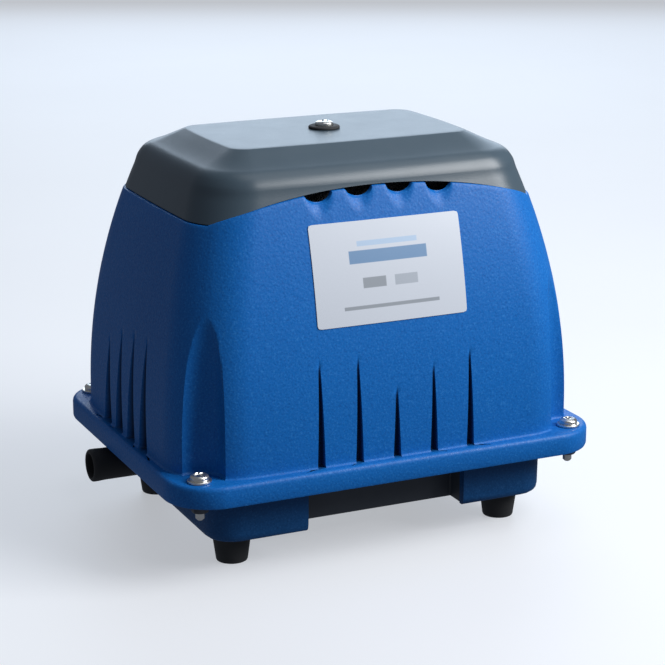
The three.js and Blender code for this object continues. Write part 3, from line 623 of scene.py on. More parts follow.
class Finish:
    """A node material with its shader, and short ways to add and join nodes."""

    def __init__(self, name: str, colour: Colour, roughness: float, metallic: float = 0.0) -> None:
        """Starts a material.

        Args:
            name: the material's name.
            colour: base colour, linear.
            roughness: base roughness.
            metallic: 1 for bare metal.
        """
        self.material = bpy.data.materials.new(name)
        self.material.use_nodes = True
        self.tree = self.material.node_tree
        self.shader = self.tree.nodes["Principled BSDF"]
        self.shader.inputs["Base Color"].default_value = (*colour, 1.0)
        self.shader.inputs["Roughness"].default_value = roughness
        self.shader.inputs["Metallic"].default_value = metallic
        self.place = self.tree.nodes.new("ShaderNodeTexCoord").outputs["Object"]

    def node(self, kind: str, settings: dict | None = None, **inputs: object) -> bpy.types.Node:
        """Adds a node.

        Args:
            kind: the node's type.
            settings: its properties.
            inputs: socket names, with _ for a space, or i and a number, to a value or an output socket.

        Returns:
            The node.
        """
        made = self.tree.nodes.new(kind)
        for key, value in (settings or {}).items():
            setattr(made, key, value)
        for key, value in inputs.items():
            numbered = key[0] == "i" and key[1:].isdigit()
            socket = made.inputs[int(key[1:]) if numbered else key.replace("_", " ")]
            if isinstance(value, bpy.types.NodeSocket):
                self.tree.links.new(value, socket)
            else:
                socket.default_value = value
        return made

    def noise(
        self, scale: float, detail: float = 2.0, roughness: float = 0.5, vector: object = None
    ) -> bpy.types.NodeSocket:
        """Fractal noise, features per metre."""
        inputs = {"Scale": scale, "Detail": detail, "Roughness": roughness}
        return self.node("ShaderNodeTexNoise", Vector=vector or self.place, **inputs).outputs["Fac"]

    def cells(self, scale: float, kind: str = "F1") -> bpy.types.NodeSocket:
        """Distance to the nearest of scattered points, per metre."""
        made = self.node("ShaderNodeTexVoronoi", {"feature": kind}, Vector=self.place, Scale=scale)
        return made.outputs["Distance"]

    def math(self, operation: str, first: object, second: object = 0.0) -> bpy.types.NodeSocket:
        """One sum on two values."""
        return self.node("ShaderNodeMath", {"operation": operation}, i0=first, i1=second).outputs[0]

    def span(
        self, value: object, low: float, high: float, to_low: float = 0.0, to_high: float = 1.0
    ) -> bpy.types.NodeSocket:
        """Moves a value from one range to another, held at the ends."""
        made = self.node("ShaderNodeMapRange", i0=value, i1=low, i2=high, i3=to_low, i4=to_high)
        return made.outputs[0]

    def blend(self, share: object, first: object, second: object) -> bpy.types.NodeSocket:
        """Mixes two colours by a share."""
        made = self.node("ShaderNodeMix", {"data_type": "RGBA"})
        for name, value in (("Factor_Float", share), ("A_Color", first), ("B_Color", second)):
            socket = next(s for s in made.inputs if s.identifier == name)
            if isinstance(value, bpy.types.NodeSocket):
                self.tree.links.new(value, socket)
            elif isinstance(value, tuple):
                socket.default_value = (*value, 1.0)
            else:
                socket.default_value = value
        return next(s for s in made.outputs if s.identifier == "Result_Color")

    def bump(self, height: object, depth: float, strength: float) -> bpy.types.NodeSocket:
        """Bump of a real depth in millimetres."""
        inputs = {"Height": height, "Distance": depth * MM, "Strength": strength}
        return self.node("ShaderNodeBump", **inputs).outputs["Normal"]

    def set(self, name: str, source: object) -> None:
        """Joins an output to one of the shader's sockets, or sets its value."""
        socket = self.shader.inputs[name]
        if isinstance(source, bpy.types.NodeSocket):
            self.tree.links.new(source, socket)
        else:
            socket.default_value = source


@dataclass(frozen=True)
class TexturedPaint:
    """Powder coat with a leathery grain and fine pale flecks, and painted shade in its grooves where points
    carry the groove mark.
    """

    name: str
    colour: Colour
    light: Colour
    dark: Colour
    roughness: float = 0.42
    shadow: Colour = (0.003, 0.012, 0.035)

    def make(self) -> bpy.types.Material:
        """Builds the paint."""
        finish = Finish(self.name, self.colour, self.roughness)
        broad = finish.noise(9.0, 3.0)
        fleck = finish.noise(1050.0, 2.0, 0.55)
        grain = finish.noise(1000.0, 2.0, 0.6)
        peel = finish.cells(640.0, "SMOOTH_F1")
        base = finish.blend(finish.span(broad, 0.35, 0.68, 0.0, 0.22), self.colour, self.dark)
        flecked = finish.blend(finish.span(fleck, 0.55, 0.72, 0.0, 0.36), base, self.light)
        pitted = finish.blend(finish.span(fleck, 0.46, 0.30, 0.0, 0.5), flecked, self.dark)
        # Painted shade: the paint blends towards the shadow colour where a point's groove mark is high.
        recess = finish.node("ShaderNodeAttribute", {"attribute_name": GROOVE_SHADE_ATTRIBUTE}).outputs["Fac"]
        finish.set("Base Color", finish.blend(finish.math("MULTIPLY", recess, 0.86), pitted, self.shadow))
        finish.set("Roughness", finish.span(grain, 0.3, 0.7, self.roughness - 0.08, self.roughness + 0.14))
        height = finish.math("ADD", finish.math("MULTIPLY", grain, 0.8), finish.math("MULTIPLY", peel, 1.1))
        finish.set("Normal", finish.bump(height, 0.13, 0.6))
        finish.set("Specular IOR Level", 0.22)
        return finish.material


@dataclass(frozen=True)
class MouldedPlastic:
    """Injection-moulded plastic with a fine spark-eroded grain, and a little dust."""

    name: str
    colour: Colour
    roughness: float
    grain_depth: float = 0.05
    dust: Colour = (0.25, 0.26, 0.27)
    dust_share: float = 0.06

    def make(self) -> bpy.types.Material:
        """Builds the plastic."""
        finish = Finish(self.name, self.colour, self.roughness)
        broad = finish.noise(14.0, 4.0)
        grain = finish.noise(1500.0, 2.0, 0.6)
        smear = finish.noise(60.0, 5.0, 0.7)
        dusted = finish.blend(finish.span(smear, 0.45, 0.8, 0.0, self.dust_share), self.colour, self.dust)
        darker = tuple(channel * 0.78 for channel in self.colour)
        finish.set("Base Color", finish.blend(finish.span(broad, 0.35, 0.7, 0.0, 0.5), dusted, darker))
        finish.set("Roughness", finish.span(smear, 0.3, 0.75, self.roughness - 0.01, self.roughness + 0.03))
        finish.set("Normal", finish.bump(grain, self.grain_depth, 0.5))
        return finish.material


@dataclass(frozen=True)
class MouldedRubber:
    """Matt black rubber with mould marks and pale bloom."""

    name: str
    colour: Colour = (0.012, 0.013, 0.015)
    bloom: Colour = (0.035, 0.036, 0.038)

    def make(self) -> bpy.types.Material:
        """Builds the rubber."""
        finish = Finish(self.name, self.colour, 0.72)
        bloom = finish.noise(70.0, 5.0, 0.65)
        grain = finish.noise(1100.0, 3.0, 0.6)
        bloomed = finish.span(bloom, 0.4, 0.75, 0.0, 0.35)
        finish.set("Base Color", finish.blend(bloomed, self.colour, self.bloom))
        finish.set("Roughness", finish.span(bloom, 0.3, 0.7, 0.62, 0.82))
        finish.set("Normal", finish.bump(grain, 0.06, 0.5))
        finish.set("Sheen Weight", 0.05)
        return finish.material


@dataclass(frozen=True)
class PlatedSteel:
    """Bright plated metal with fine turning marks and dull patches."""

    name: str
    colour: Colour
    roughness: float
    dull: Colour = (0.45, 0.44, 0.41)
    scratch_scale: float = 900.0

    def make(self) -> bpy.types.Material:
        """Builds the metal."""
        finish = Finish(self.name, self.colour, self.roughness, 1.0)
        patch = finish.noise(160.0, 4.0, 0.6)
        stretched = finish.node("ShaderNodeMapping", Vector=finish.place, Scale=(1.0, 1.0, 9.0)).outputs[0]
        scratch = finish.noise(self.scratch_scale, 3.0, 0.6, stretched)
        dull_wear_and_shade = finish.span(patch, 0.42, 0.72, 0.0, 0.55)
        finish.set("Base Color", finish.blend(dull_wear_and_shade, self.colour, self.dull))
        finish.set("Roughness", finish.span(patch, 0.3, 0.75, self.roughness - 0.06, self.roughness + 0.2))
        finish.set("Normal", finish.bump(scratch, 0.02, 0.4))
        return finish.material


@dataclass(frozen=True)
class CastMetal:
    """Blasted bare casting."""

    name: str
    colour: Colour
    dull: Colour = (0.3, 0.31, 0.33)

    def make(self) -> bpy.types.Material:
        """Builds the casting."""
        finish = Finish(self.name, self.colour, 0.5, 1.0)
        pits = finish.cells(700.0)
        patch = finish.noise(40.0, 4.0)
        dull_wear_and_shade = finish.span(patch, 0.35, 0.7, 0.0, 0.6)
        finish.set("Base Color", finish.blend(dull_wear_and_shade, self.colour, self.dull))
        finish.set("Roughness", finish.span(patch, 0.3, 0.7, 0.42, 0.62))
        finish.set("Normal", finish.bump(finish.math("ADD", pits, finish.noise(1300.0)), 0.08, 0.6))
        return finish.material


@dataclass(frozen=True)
class Laminations:
    """Stacked thin sheets of varnished steel, seen as fine level lines."""

    name: str
    gap: Colour = (0.05, 0.05, 0.055)
    sheet: Colour = (0.24, 0.25, 0.27)
    varnish: Colour = (0.16, 0.10, 0.06)
    wave_scale: float = 200.0

    def make(self) -> bpy.types.Material:
        """Builds the stack: a wave along the height, with brown varnish over parts of it."""
        finish = Finish(self.name, self.sheet, 0.45, 1.0)
        inputs = {"Vector": finish.place, "Scale": self.wave_scale, "Distortion": 0.15}
        wave = finish.node("ShaderNodeTexWave", {"bands_direction": "Z"}, **inputs).outputs["Fac"]
        patch = finish.noise(55.0, 4.0)
        tone = finish.blend(finish.span(wave, 0.2, 0.8), self.gap, self.sheet)
        finish.set("Base Color", finish.blend(finish.span(patch, 0.5, 0.8, 0.0, 0.5), tone, self.varnish))
        finish.set("Roughness", finish.span(patch, 0.3, 0.7, 0.35, 0.6))
        finish.set("Normal", finish.bump(wave, 0.12, 0.6))
        return finish.material


@dataclass(frozen=True)
class CopperWinding:
    """Enamelled copper wire, laid turn beside turn."""

    name: str
    bright: Colour = (0.62, 0.24, 0.08)
    brown: Colour = (0.34, 0.10, 0.035)

    def make(self) -> bpy.types.Material:
        """Builds the winding's colour; its turns are in the mesh."""
        finish = Finish(self.name, self.bright, 0.28, 0.9)
        wire = finish.noise(300.0, 4.0, 0.6)
        finish.set("Base Color", finish.blend(finish.span(wire, 0.35, 0.7), self.bright, self.brown))
        finish.set("Roughness", finish.span(wire, 0.3, 0.7, 0.2, 0.42))
        finish.set("Coat Weight", 0.5)
        return finish.material


@dataclass(frozen=True)
class OpenCellFoam:
    """Reticulated foam: painted shade in the pores between bright thin struts."""

    name: str
    # Painted shade in the foam's pores.
    painted_pore_shade: Colour = (0.006, 0.006, 0.007)
    strut: Colour = (0.075, 0.08, 0.088)

    def make(self) -> bpy.types.Material:
        """Builds the foam from two sizes of cell walls."""
        finish = Finish(self.name, self.strut, 0.9)
        coarse = finish.span(finish.cells(620.0, "DISTANCE_TO_EDGE"), 0.0, 0.28, 1.0, 0.0)
        fine = finish.span(finish.cells(1300.0, "DISTANCE_TO_EDGE"), 0.0, 0.5, 1.0, 0.35)
        strut = finish.math("MULTIPLY", coarse, fine)
        # Painted shade: the pores between the struts are coloured dark.
        finish.set("Base Color", finish.blend(strut, self.painted_pore_shade, self.strut))
        finish.set("Normal", finish.bump(strut, 0.9, 0.9))
        finish.set("Sheen Weight", 0.15)
        return finish.material


@dataclass(frozen=True)
class PrintedLabel:
    """White coated label with plain tinted bars where a plate carries its data.

    A bar is (middle along X, middle up, half width, half height, tint), in millimetres from the
    label's middle.
    """

    name: str
    centre_x: float
    centre_z: float
    paper: Colour = (0.60, 0.64, 0.71)
    shaded: Colour = (0.55, 0.60, 0.68)
    bars: tuple = (
        (0.0, 14.5, 17.0, 1.3, (0.42, 0.55, 0.72)),
        (0.0, 8.0, 22.0, 3.2, (0.16, 0.28, 0.46)),
        (-9.0, -5.0, 6.5, 2.6, (0.30, 0.33, 0.37)),
        (9.0, -5.0, 6.5, 2.6, (0.40, 0.44, 0.50)),
        (0.0, -17.0, 27.0, 0.9, (0.30, 0.33, 0.37)),
    )

    def make(self) -> bpy.types.Material:
        """Builds the print: each bar is where the distance from its centre is under its half size."""
        finish = Finish(self.name, self.paper, 0.38)
        place = finish.node("ShaderNodeSeparateXYZ", Vector=finish.place)
        x = finish.math("SUBTRACT", place.outputs[0], self.centre_x)
        z = finish.math("SUBTRACT", place.outputs[2], self.centre_z)
        shade = finish.noise(25.0, 3.0)
        colour = finish.blend(finish.span(shade, 0.3, 0.7, 0.0, 0.25), self.paper, self.shaded)
        for bar_x, bar_z, half_x, half_z, tint in self.bars:
            in_x = self.within(finish, x, bar_x, half_x)
            in_z = self.within(finish, z, bar_z, half_z)
            colour = finish.blend(finish.math("MULTIPLY", in_x, in_z), colour, tint)
        finish.set("Base Color", colour)
        finish.set("Roughness", finish.span(shade, 0.3, 0.7, 0.32, 0.46))
        finish.set("Normal", finish.bump(finish.noise(800.0, 2.0), 0.015, 0.4))
        return finish.material

    @staticmethod
    def within(finish: Finish, value: object, middle: float, half: float) -> bpy.types.NodeSocket:
        """1 inside a band about a middle, with a soft printed edge."""
        offset = finish.math("ABSOLUTE", finish.math("SUBTRACT", value, middle * MM))
        return finish.span(offset, (half - 0.15) * MM, (half + 0.15) * MM, 1.0, 0.0)


# ---- housing -----------------------------------------------------------------------


@dataclass
class UpperHousing:
    """The blue casting: flange, tapered body, arched edge, tray shelf and hollow inside, as one skin."""

    form: HousingForm
    paint: bpy.types.Material
    flange_x: float = 122.0
    flange_y: float = 97.0
    flange_radius: float = 26.0
    flange_low: float = 43.7
    skirt: float = 4.0
    ceiling: float = 51.0
    rim_wall: float = 3.2
    low_wall: float = 7.0
    shelf: tuple[float, float, float] = (168.0, 171.8, 7.5)
    inside_heights: tuple = (150.0, 130.0, 110.0, 90.0, 70.0)
    inner_notch: float = 0.91
    edge_guess: float = 190.0
    edge_round: float = 0.7
    rows: int = 64

    def flange_ring(self, inset: float, z: float) -> np.ndarray:
        """Ring of the flange, with its columns in step with the body's foot."""
        form = self.form
        strips = []
        for side in Side:
            count = form.strip_columns(side)
            height = np.full((1, count), form.foot)
            half_a, _, radius = form.local_half(side, height, 0.0)
            straight = count - 2 * form.corner_columns - form.pocket_columns
            along, _ = form.side_strip(side, height, 0.0, False)
            wide, deep = (self.flange_x, self.flange_y) if side.is_long else (self.flange_y, self.flange_x)
            reach = wide - self.flange_radius
            turn = form.corner_angles(side, height[:, straight:], 0.0)[0]
            ring_radius = self.flange_radius - inset
            scale = reach / (half_a - radius)[0, 0]
            unbowed = along[0, :straight] / along[0, 0] * -(half_a - radius)[0, 0]
            flat = unbowed * scale
            ring_a = np.concatenate([flat, reach + ring_radius * np.sin(turn)])
            arc = deep - self.flange_radius + ring_radius * np.cos(turn)
            ring_o = np.concatenate([np.full(straight, deep - inset), arc])
            strips.append(place_strip(side, ring_a, ring_o))
        flat_ring = np.concatenate(strips)
        return np.column_stack([flat_ring, np.full(len(flat_ring), z)])

    def top_heights(self, share: float) -> np.ndarray:
        """Height of the top edge for each column: the arch, dipped where a scallop cuts it.

        Args:
            share: how much of the scallop's full depth is left, 1 at the outer face.
        """
        form = self.form
        guess = np.full((1, form.columns()), self.edge_guess)
        x = form.ring(guess, 0.0, False)[0, :, 0]
        height = form.edge(x)
        scallops = form.scallops
        on_long_side = self.long_side_mask()
        for place in scallops.places:
            across = (x - place) / scallops.half_x
            inside = np.maximum(0.0, 1 - across**2)
            crest = form.edge(np.array(place)) + scallops.lift
            notch = crest - scallops.half_z * share * np.sqrt(inside)
            height = np.where(on_long_side & (np.abs(across) < 1), np.minimum(height, notch), height)
        return height

    def long_side_mask(self) -> np.ndarray:
        """True for the columns of the front and rear sides."""
        form = self.form
        marks = [np.full(form.strip_columns(side), side.is_long) for side in Side]
        return np.concatenate(marks)

    def dish(self, rings: np.ndarray) -> np.ndarray:
        """Presses a shallow funnel into the face under each scallop: depth falls off by an ellipse."""
        form = self.form
        scallops = form.scallops
        long_side = self.long_side_mask()
        x, z = rings[..., 0], rings[..., 2]
        press = np.zeros_like(x)
        for place in scallops.places:
            low = form.edge(np.array(place)) + scallops.lift - scallops.half_z
            fall = np.maximum(0.0, low + 3 - z) / scallops.dish_fall
            away = np.hypot((x - place) / (scallops.dish_half_x * (1.25 - 0.6 * np.clip(fall, 0, 1))), fall)
            press = np.maximum(press, scallops.dish_depth * smooth_step(1 - away))
        press = np.where(long_side, press, 0.0)
        rings[..., 1] -= np.sign(rings[..., 1]) * press
        return rings

    def body_rows(self) -> np.ndarray:
        """Outer face of the body, from the foot's fillet to just under the top edge."""
        form = self.form
        top = self.top_heights(1.0) - self.edge_round
        share = np.linspace(0.0, 1.0, self.rows)[:, None]
        share = 0.75 * share + 0.25 * smooth_step(share)
        z = form.foot + 1.0 + share * (top - form.foot - 1.0)
        return self.dish(form.ring(z))

    def ring_at(self, heights: np.ndarray | float, inset: float, cut: bool = True) -> np.ndarray:
        """One ring at a height, or at a height for each column."""
        z = np.broadcast_to(np.asarray(heights, dtype=float), (1, self.form.columns())).copy()
        return self.form.ring(z, inset, cut)[0]

    def mark_groove_painted_shade(self, piece: bpy.types.Object) -> None:
        """Marks how deep each point lies in a groove, for the painted shade that darkens the paint there.

        The mark is the point's distance inside the plain face, over the groove's full depth.
        """
        form = self.form
        mesh = piece.data
        flat = np.empty(len(mesh.vertices) * 3)
        mesh.vertices.foreach_get("co", flat)
        x, y, z = (flat.reshape(-1, 3) - np.array([MIDDLE_X, 0.0, 0.0])).T / MM
        half_x, half_y, _ = form.half(z)
        marks = np.zeros(len(x))
        in_front = half_y - form.bulge * (x / half_x) ** 2 - np.abs(y)
        in_end = half_x - form.bulge * (y / half_y) ** 2 - np.abs(x)
        for grooves, along, inside in ((form.front, x, in_front), (form.end, y, in_end)):
            spots = np.array(grooves.places)[:, None]
            near = np.abs(along - spots).min(axis=0) < grooves.width / 2 + 0.3
            body = (z > form.flange_top - 0.1) & (z < max(grooves.tops) + 1)
            deep = np.clip((inside - 0.1) / (0.15 * grooves.depth), 0.0, 1.0) * (inside < grooves.depth + 1.2)
            marks = np.maximum(marks, np.where(near & body, deep, 0.0))
        mesh.attributes.new(GROOVE_SHADE_ATTRIBUTE, "FLOAT", "POINT").data.foreach_set("value", marks)

    def build(self) -> bpy.types.Object:
        """Stacks all rings, outer then inner, and closes the last to the first."""
        form = self.form
        low = self.flange_low
        flange = [(self.skirt, low), (1.6, low), (0.5, low + 0.4), (0.0, low + 1.6), (0.0, 53.0)]
        flange += [(0.25, 54.2), (0.9, 55.1), (2.0, form.flange_top), (2.8, form.flange_top)]
        rings = [self.flange_ring(inset, z) for inset, z in flange]
        foot = self.ring_at(form.foot, 0.0)
        outward = foot.copy()
        outward[:, :2] = self.ring_at(form.foot, -1.0)[:, :2]
        outward[:, 2] = form.flange_top
        rings.append(outward)
        foot[:, 2] = form.foot + 0.3
        foot[:, :2] = self.ring_at(form.foot, -0.2)[:, :2]
        rings.append(foot)
        rings += list(self.body_rows())
        outer_top, inner_top = self.top_heights(1.0), self.top_heights(self.inner_notch)
        shelf_low, shelf_high, shelf_inset = self.shelf
        rings.append(self.dish(self.ring_at(outer_top - 0.2, 0.2)[None])[0])
        rings.append(self.dish(self.ring_at(outer_top, self.edge_round)[None])[0])
        rings.append(self.ring_at(inner_top, self.rim_wall - 0.4))
        rings.append(self.ring_at(inner_top - 0.5, self.rim_wall))
        rings.append(self.ring_at(shelf_high, self.rim_wall))
        rings.append(self.ring_at(shelf_high, shelf_inset))
        rings.append(self.ring_at(shelf_low, shelf_inset))
        inside = (shelf_low, *self.inside_heights, self.ceiling)
        rings += [self.ring_at(z, self.low_wall) for z in inside]
        rings.append(self.flange_ring(self.skirt, self.ceiling))
        points = np.concatenate(rings)
        quads = grid_quads(len(rings), form.columns(), tube=True)
        return make_piece("upper_housing_casting", points, [quads], 32.0)

    def dress(self) -> None:
        """Builds the casting and puts it in the CAD casting's place."""
        casting = self.build()
        # Groove marks for the painted shade in the paint.
        self.mark_groove_painted_shade(casting)
        settle(casting, "pump", self.paint, "blue_paint", "upper_housing")


@dataclass
class RatingPlate:
    """Thin label that follows the curve of the front face."""

    form: HousingForm
    half_width: float = 42.5
    low: float = 127.2
    high: float = 178.4
    lift: float = 0.12
    thickness: float = 0.3
    corner: float = 1.5
    steps: tuple[int, int] = (40, 30)

    def face(self, x: np.ndarray, z: np.ndarray) -> np.ndarray:
        """Depth of the front face: the half depth less the bow's fall towards the corners."""
        hx, hy, _ = self.form.half(z)
        return hy - self.form.bulge * (x / hx) ** 2

    def build(self) -> bpy.types.Object:
        """A bent sheet with rounded corners: two skins and a thin edge."""
        across = np.linspace(-1.0, 1.0, self.steps[0])
        up = np.linspace(-1.0, 1.0, self.steps[1])
        u, v = np.meshgrid(across, up)
        half_z = (self.high - self.low) / 2
        x, z = u * self.half_width, v * half_z
        over_x = np.maximum(0.0, np.abs(x) - (self.half_width - self.corner))
        over_z = np.maximum(0.0, np.abs(z) - (half_z - self.corner))
        beyond = np.maximum(np.hypot(over_x, over_z), self.corner)
        pull = np.where((over_x > 0) & (over_z > 0), self.corner / beyond, 1.0)
        x = np.sign(x) * (np.abs(x) - over_x * (1 - pull))
        z = np.sign(z) * (np.abs(z) - over_z * (1 - pull)) + (self.low + self.high) / 2
        skins = []
        for depth in (self.lift, self.lift + self.thickness):
            skins.append(np.stack([x, -(self.face(x, z) + depth), z], axis=-1))
        rows, columns = x.shape
        inner = grid_quads(rows, columns, ring=False)
        count = rows * columns
        number = np.arange(count).reshape(rows, columns)
        rim = np.concatenate([number[0], number[1:, -1], number[-1, -2::-1], number[-2:0:-1, 0]])
        after = np.roll(rim, -1)
        wall = np.stack([rim, after, after + count, rim + count], axis=-1)
        points = np.concatenate(skins).reshape(-1, 3)
        return make_piece("rating_plate", points, [inner[:, ::-1], inner + count, wall])

    def dress(self) -> None:
        """Prints the label and sticks it on."""
        label = PrintedLabel("label_print", MIDDLE_X, (self.low + self.high) / 2 * MM)
        settle(self.build(), "pump", label.make(), "label", "rating_label")


@dataclass
class FilterCover:
    """The dark cover: side bands that follow the arched edge, a soft shoulder and a bevelled crown.

    Its sections come from one table of (height, half length, half depth, corner radius), so the
    side bands, the shoulder and the bevel flow into each other.
    """

    form: HousingForm
    plastic: bpy.types.Material
    parting: float = 0.6
    inset: float = 1.2
    wall: float = 3.0
    bulge: float = 1.6
    join: float = 197.2
    shoulder: tuple = ((198.6, 91.9, 65.2, 25.5), (203.9, 87.9, 60.9, 22.0))
    bevel_foot: tuple = (206.6, 80.9, 53.3, 17.5)
    crown: tuple = ((212.9, 68.3, 40.2, 8.2), (213.0, 66.4, 38.2, 7.0))
    crown_shares: tuple = (0.94, 0.8, 0.55, 0.3, 0.12)
    band_heights: tuple = (178.0, 182.0, 186.0, 190.0, 194.0)
    edge_guess: float = 182.0
    roof_from: float = 199.0
    roof_fall: float = 8.0
    corner_shrink: float = 0.8
    least_radius: float = 3.0
    band_rows: int = 16
    sides: tuple[int, int] = (48, 32)
    corner: int = 20

    def sections(self) -> np.ndarray:
        """Table of sections: the corners of the control table are cut at a quarter and three quarters.

        Three rounds of cutting make the shoulder soft. The bevel's upper end is given twice, close
        together, which keeps it crisper.
        """
        low = [(z, *self.band_size(z)) for z in self.band_heights]
        crown_low, crown_high = self.crown
        shy = tuple(0.9 * a + 0.1 * b for a, b in zip(crown_low, self.bevel_foot))
        table = np.array([*low, *self.shoulder, self.bevel_foot, shy, crown_low, crown_high])
        for _ in range(3):
            ahead = 0.75 * table[:-1] + 0.25 * table[1:]
            behind = 0.25 * table[:-1] + 0.75 * table[1:]
            inner = np.stack([ahead, behind], axis=1).reshape(-1, 4)
            table = np.vstack([table[:1], inner, table[-1:]])
        return table

    def band_size(self, z: float) -> tuple[float, float, float]:
        """Half length, half depth and corner radius of the housing at a height, less the cover's inset."""
        half_x, half_y, radius = (float(value) for value in self.form.half(np.array(z)))
        return half_x - self.inset, half_y - self.inset, radius - self.inset

    def plan(self) -> tuple[np.ndarray, ...]:
        """For each column: on a long side, share along the side, corner angle, in a corner, side number."""
        parts = []
        for side in Side:
            count = self.sides[0] if side.is_long else self.sides[1]
            share = np.concatenate([2 * np.arange(count) / count - 1, np.ones(self.corner)])
            turn = np.concatenate([np.zeros(count), np.arange(self.corner) / self.corner * math.pi / 2])
            total = count + self.corner
            in_corner = np.arange(total) >= count
            on_long_side, number = np.full(total, side.is_long), np.full(total, side.value)
            parts.append((on_long_side, share, turn, in_corner, number))
        return tuple(np.concatenate(column) for column in zip(*parts))

    def ring(self, z: np.ndarray, half_x: np.ndarray, half_y: np.ndarray, radius: np.ndarray) -> np.ndarray:
        """One ring whose height and size may differ from column to column.

        Args:
            z: height of each column.
            half_x: half length of each column's section.
            half_y: half depth of each column's section.
            radius: corner radius of each column's section.

        Returns:
            Columns by 3 array.
        """
        long_side, share, turn, in_corner, side_of = self.plan()
        half_a = np.where(long_side, half_x, half_y)
        half_o = np.where(long_side, half_y, half_x)
        along = np.where(in_corner, half_a - radius + radius * np.sin(turn), (half_a - radius) * share)
        out = np.where(in_corner, half_o - radius + radius * np.cos(turn), half_o)
        bowed_a, bowed_o = bow(along, out, half_a, half_o, self.bulge)
        picks = [(side, side_of == side.value) for side in Side]
        flat = np.concatenate([place_strip(side, bowed_a[pick], bowed_o[pick]) for side, pick in picks])
        return np.column_stack([flat, z + 0.0 * half_a])

    def skin(self, table: np.ndarray, inward: float, drop: float) -> list[np.ndarray]:
        """Rings of one skin, from the arched edge up to the crown.

        Args:
            table: the sections.
            inward: how far inside the outer face, along its slope.
            drop: how far below it at the crown.

        Returns:
            The rings.
        """
        z_table = table[:, 0]
        guess = (self.edge_guess, *self.band_size(self.edge_guess))
        base = self.ring(*(np.full(len(self.plan()[0]), value) for value in guess))
        low = self.form.edge(base[:, 0]) + self.parting
        tighten = inward * self.corner_shrink
        rings = []
        for share in np.linspace(0.0, 1.0, self.band_rows, endpoint=False):
            z = low + share * (self.join - low)
            half_x, half_y, radius = (np.interp(z, z_table, table[:, k]) for k in (1, 2, 3))
            rings.append(self.ring(z, half_x - inward, half_y - inward, radius - tighten))
        for z, half_x, half_y, radius in table[z_table >= self.join]:
            sink = drop * float(smooth_step(np.array((z - self.roof_from) / self.roof_fall)))
            sizes = (half_x - inward, half_y - inward, max(radius - tighten, self.least_radius))
            rings.append(self.ring(*(np.full(len(low), value) for value in (z - sink, *sizes))))
        return rings

    def build(self) -> bpy.types.Object:
        """Outer skin from the crown's middle down, round the lower edge and back up inside."""
        table = self.sections()
        outer = self.skin(table, 0.0, 0.0)
        inner = self.skin(table, self.wall, self.wall)
        crown, roof = outer[-1], inner[-1]
        outer += [crown * np.array([share, share, 1.0]) for share in self.crown_shares]
        inner += [roof * np.array([share, share, 1.0]) for share in self.crown_shares[1:]]
        lip = self.rounded_lip(outer[0], inner[0])
        rings = [*outer[::-1], *lip, *inner]
        columns = len(crown)
        poles = np.array([[0.0, 0.0, crown[0, 2]], [0.0, 0.0, roof[0, 2]]])
        points = np.concatenate([*rings, poles])
        top = len(points) - 2
        faces = [grid_quads(len(rings), columns), fan_tris(0, columns, top, True)]
        faces.append(fan_tris((len(rings) - 1) * columns, columns, top + 1))
        return make_piece("filter_cover_shell", points, faces, 40.0)

    @staticmethod
    def rounded_lip(outside: np.ndarray, inside: np.ndarray) -> list[np.ndarray]:
        """Lower edge between the skins, as three rings that dip by a sine."""
        dip = np.array([0.0, 0.0, -0.35])
        across = inside - outside
        return [outside + across * share + dip * math.sin(math.pi * share) for share in (0.12, 0.5, 0.88)]

    def dress(self) -> None:
        """Builds the cover and puts it in place."""
        settle(self.build(), "cover", self.plastic, "cover_plastic", "filter_cover")


# ---- screws, feet, outlet ------------------------------------------------------------


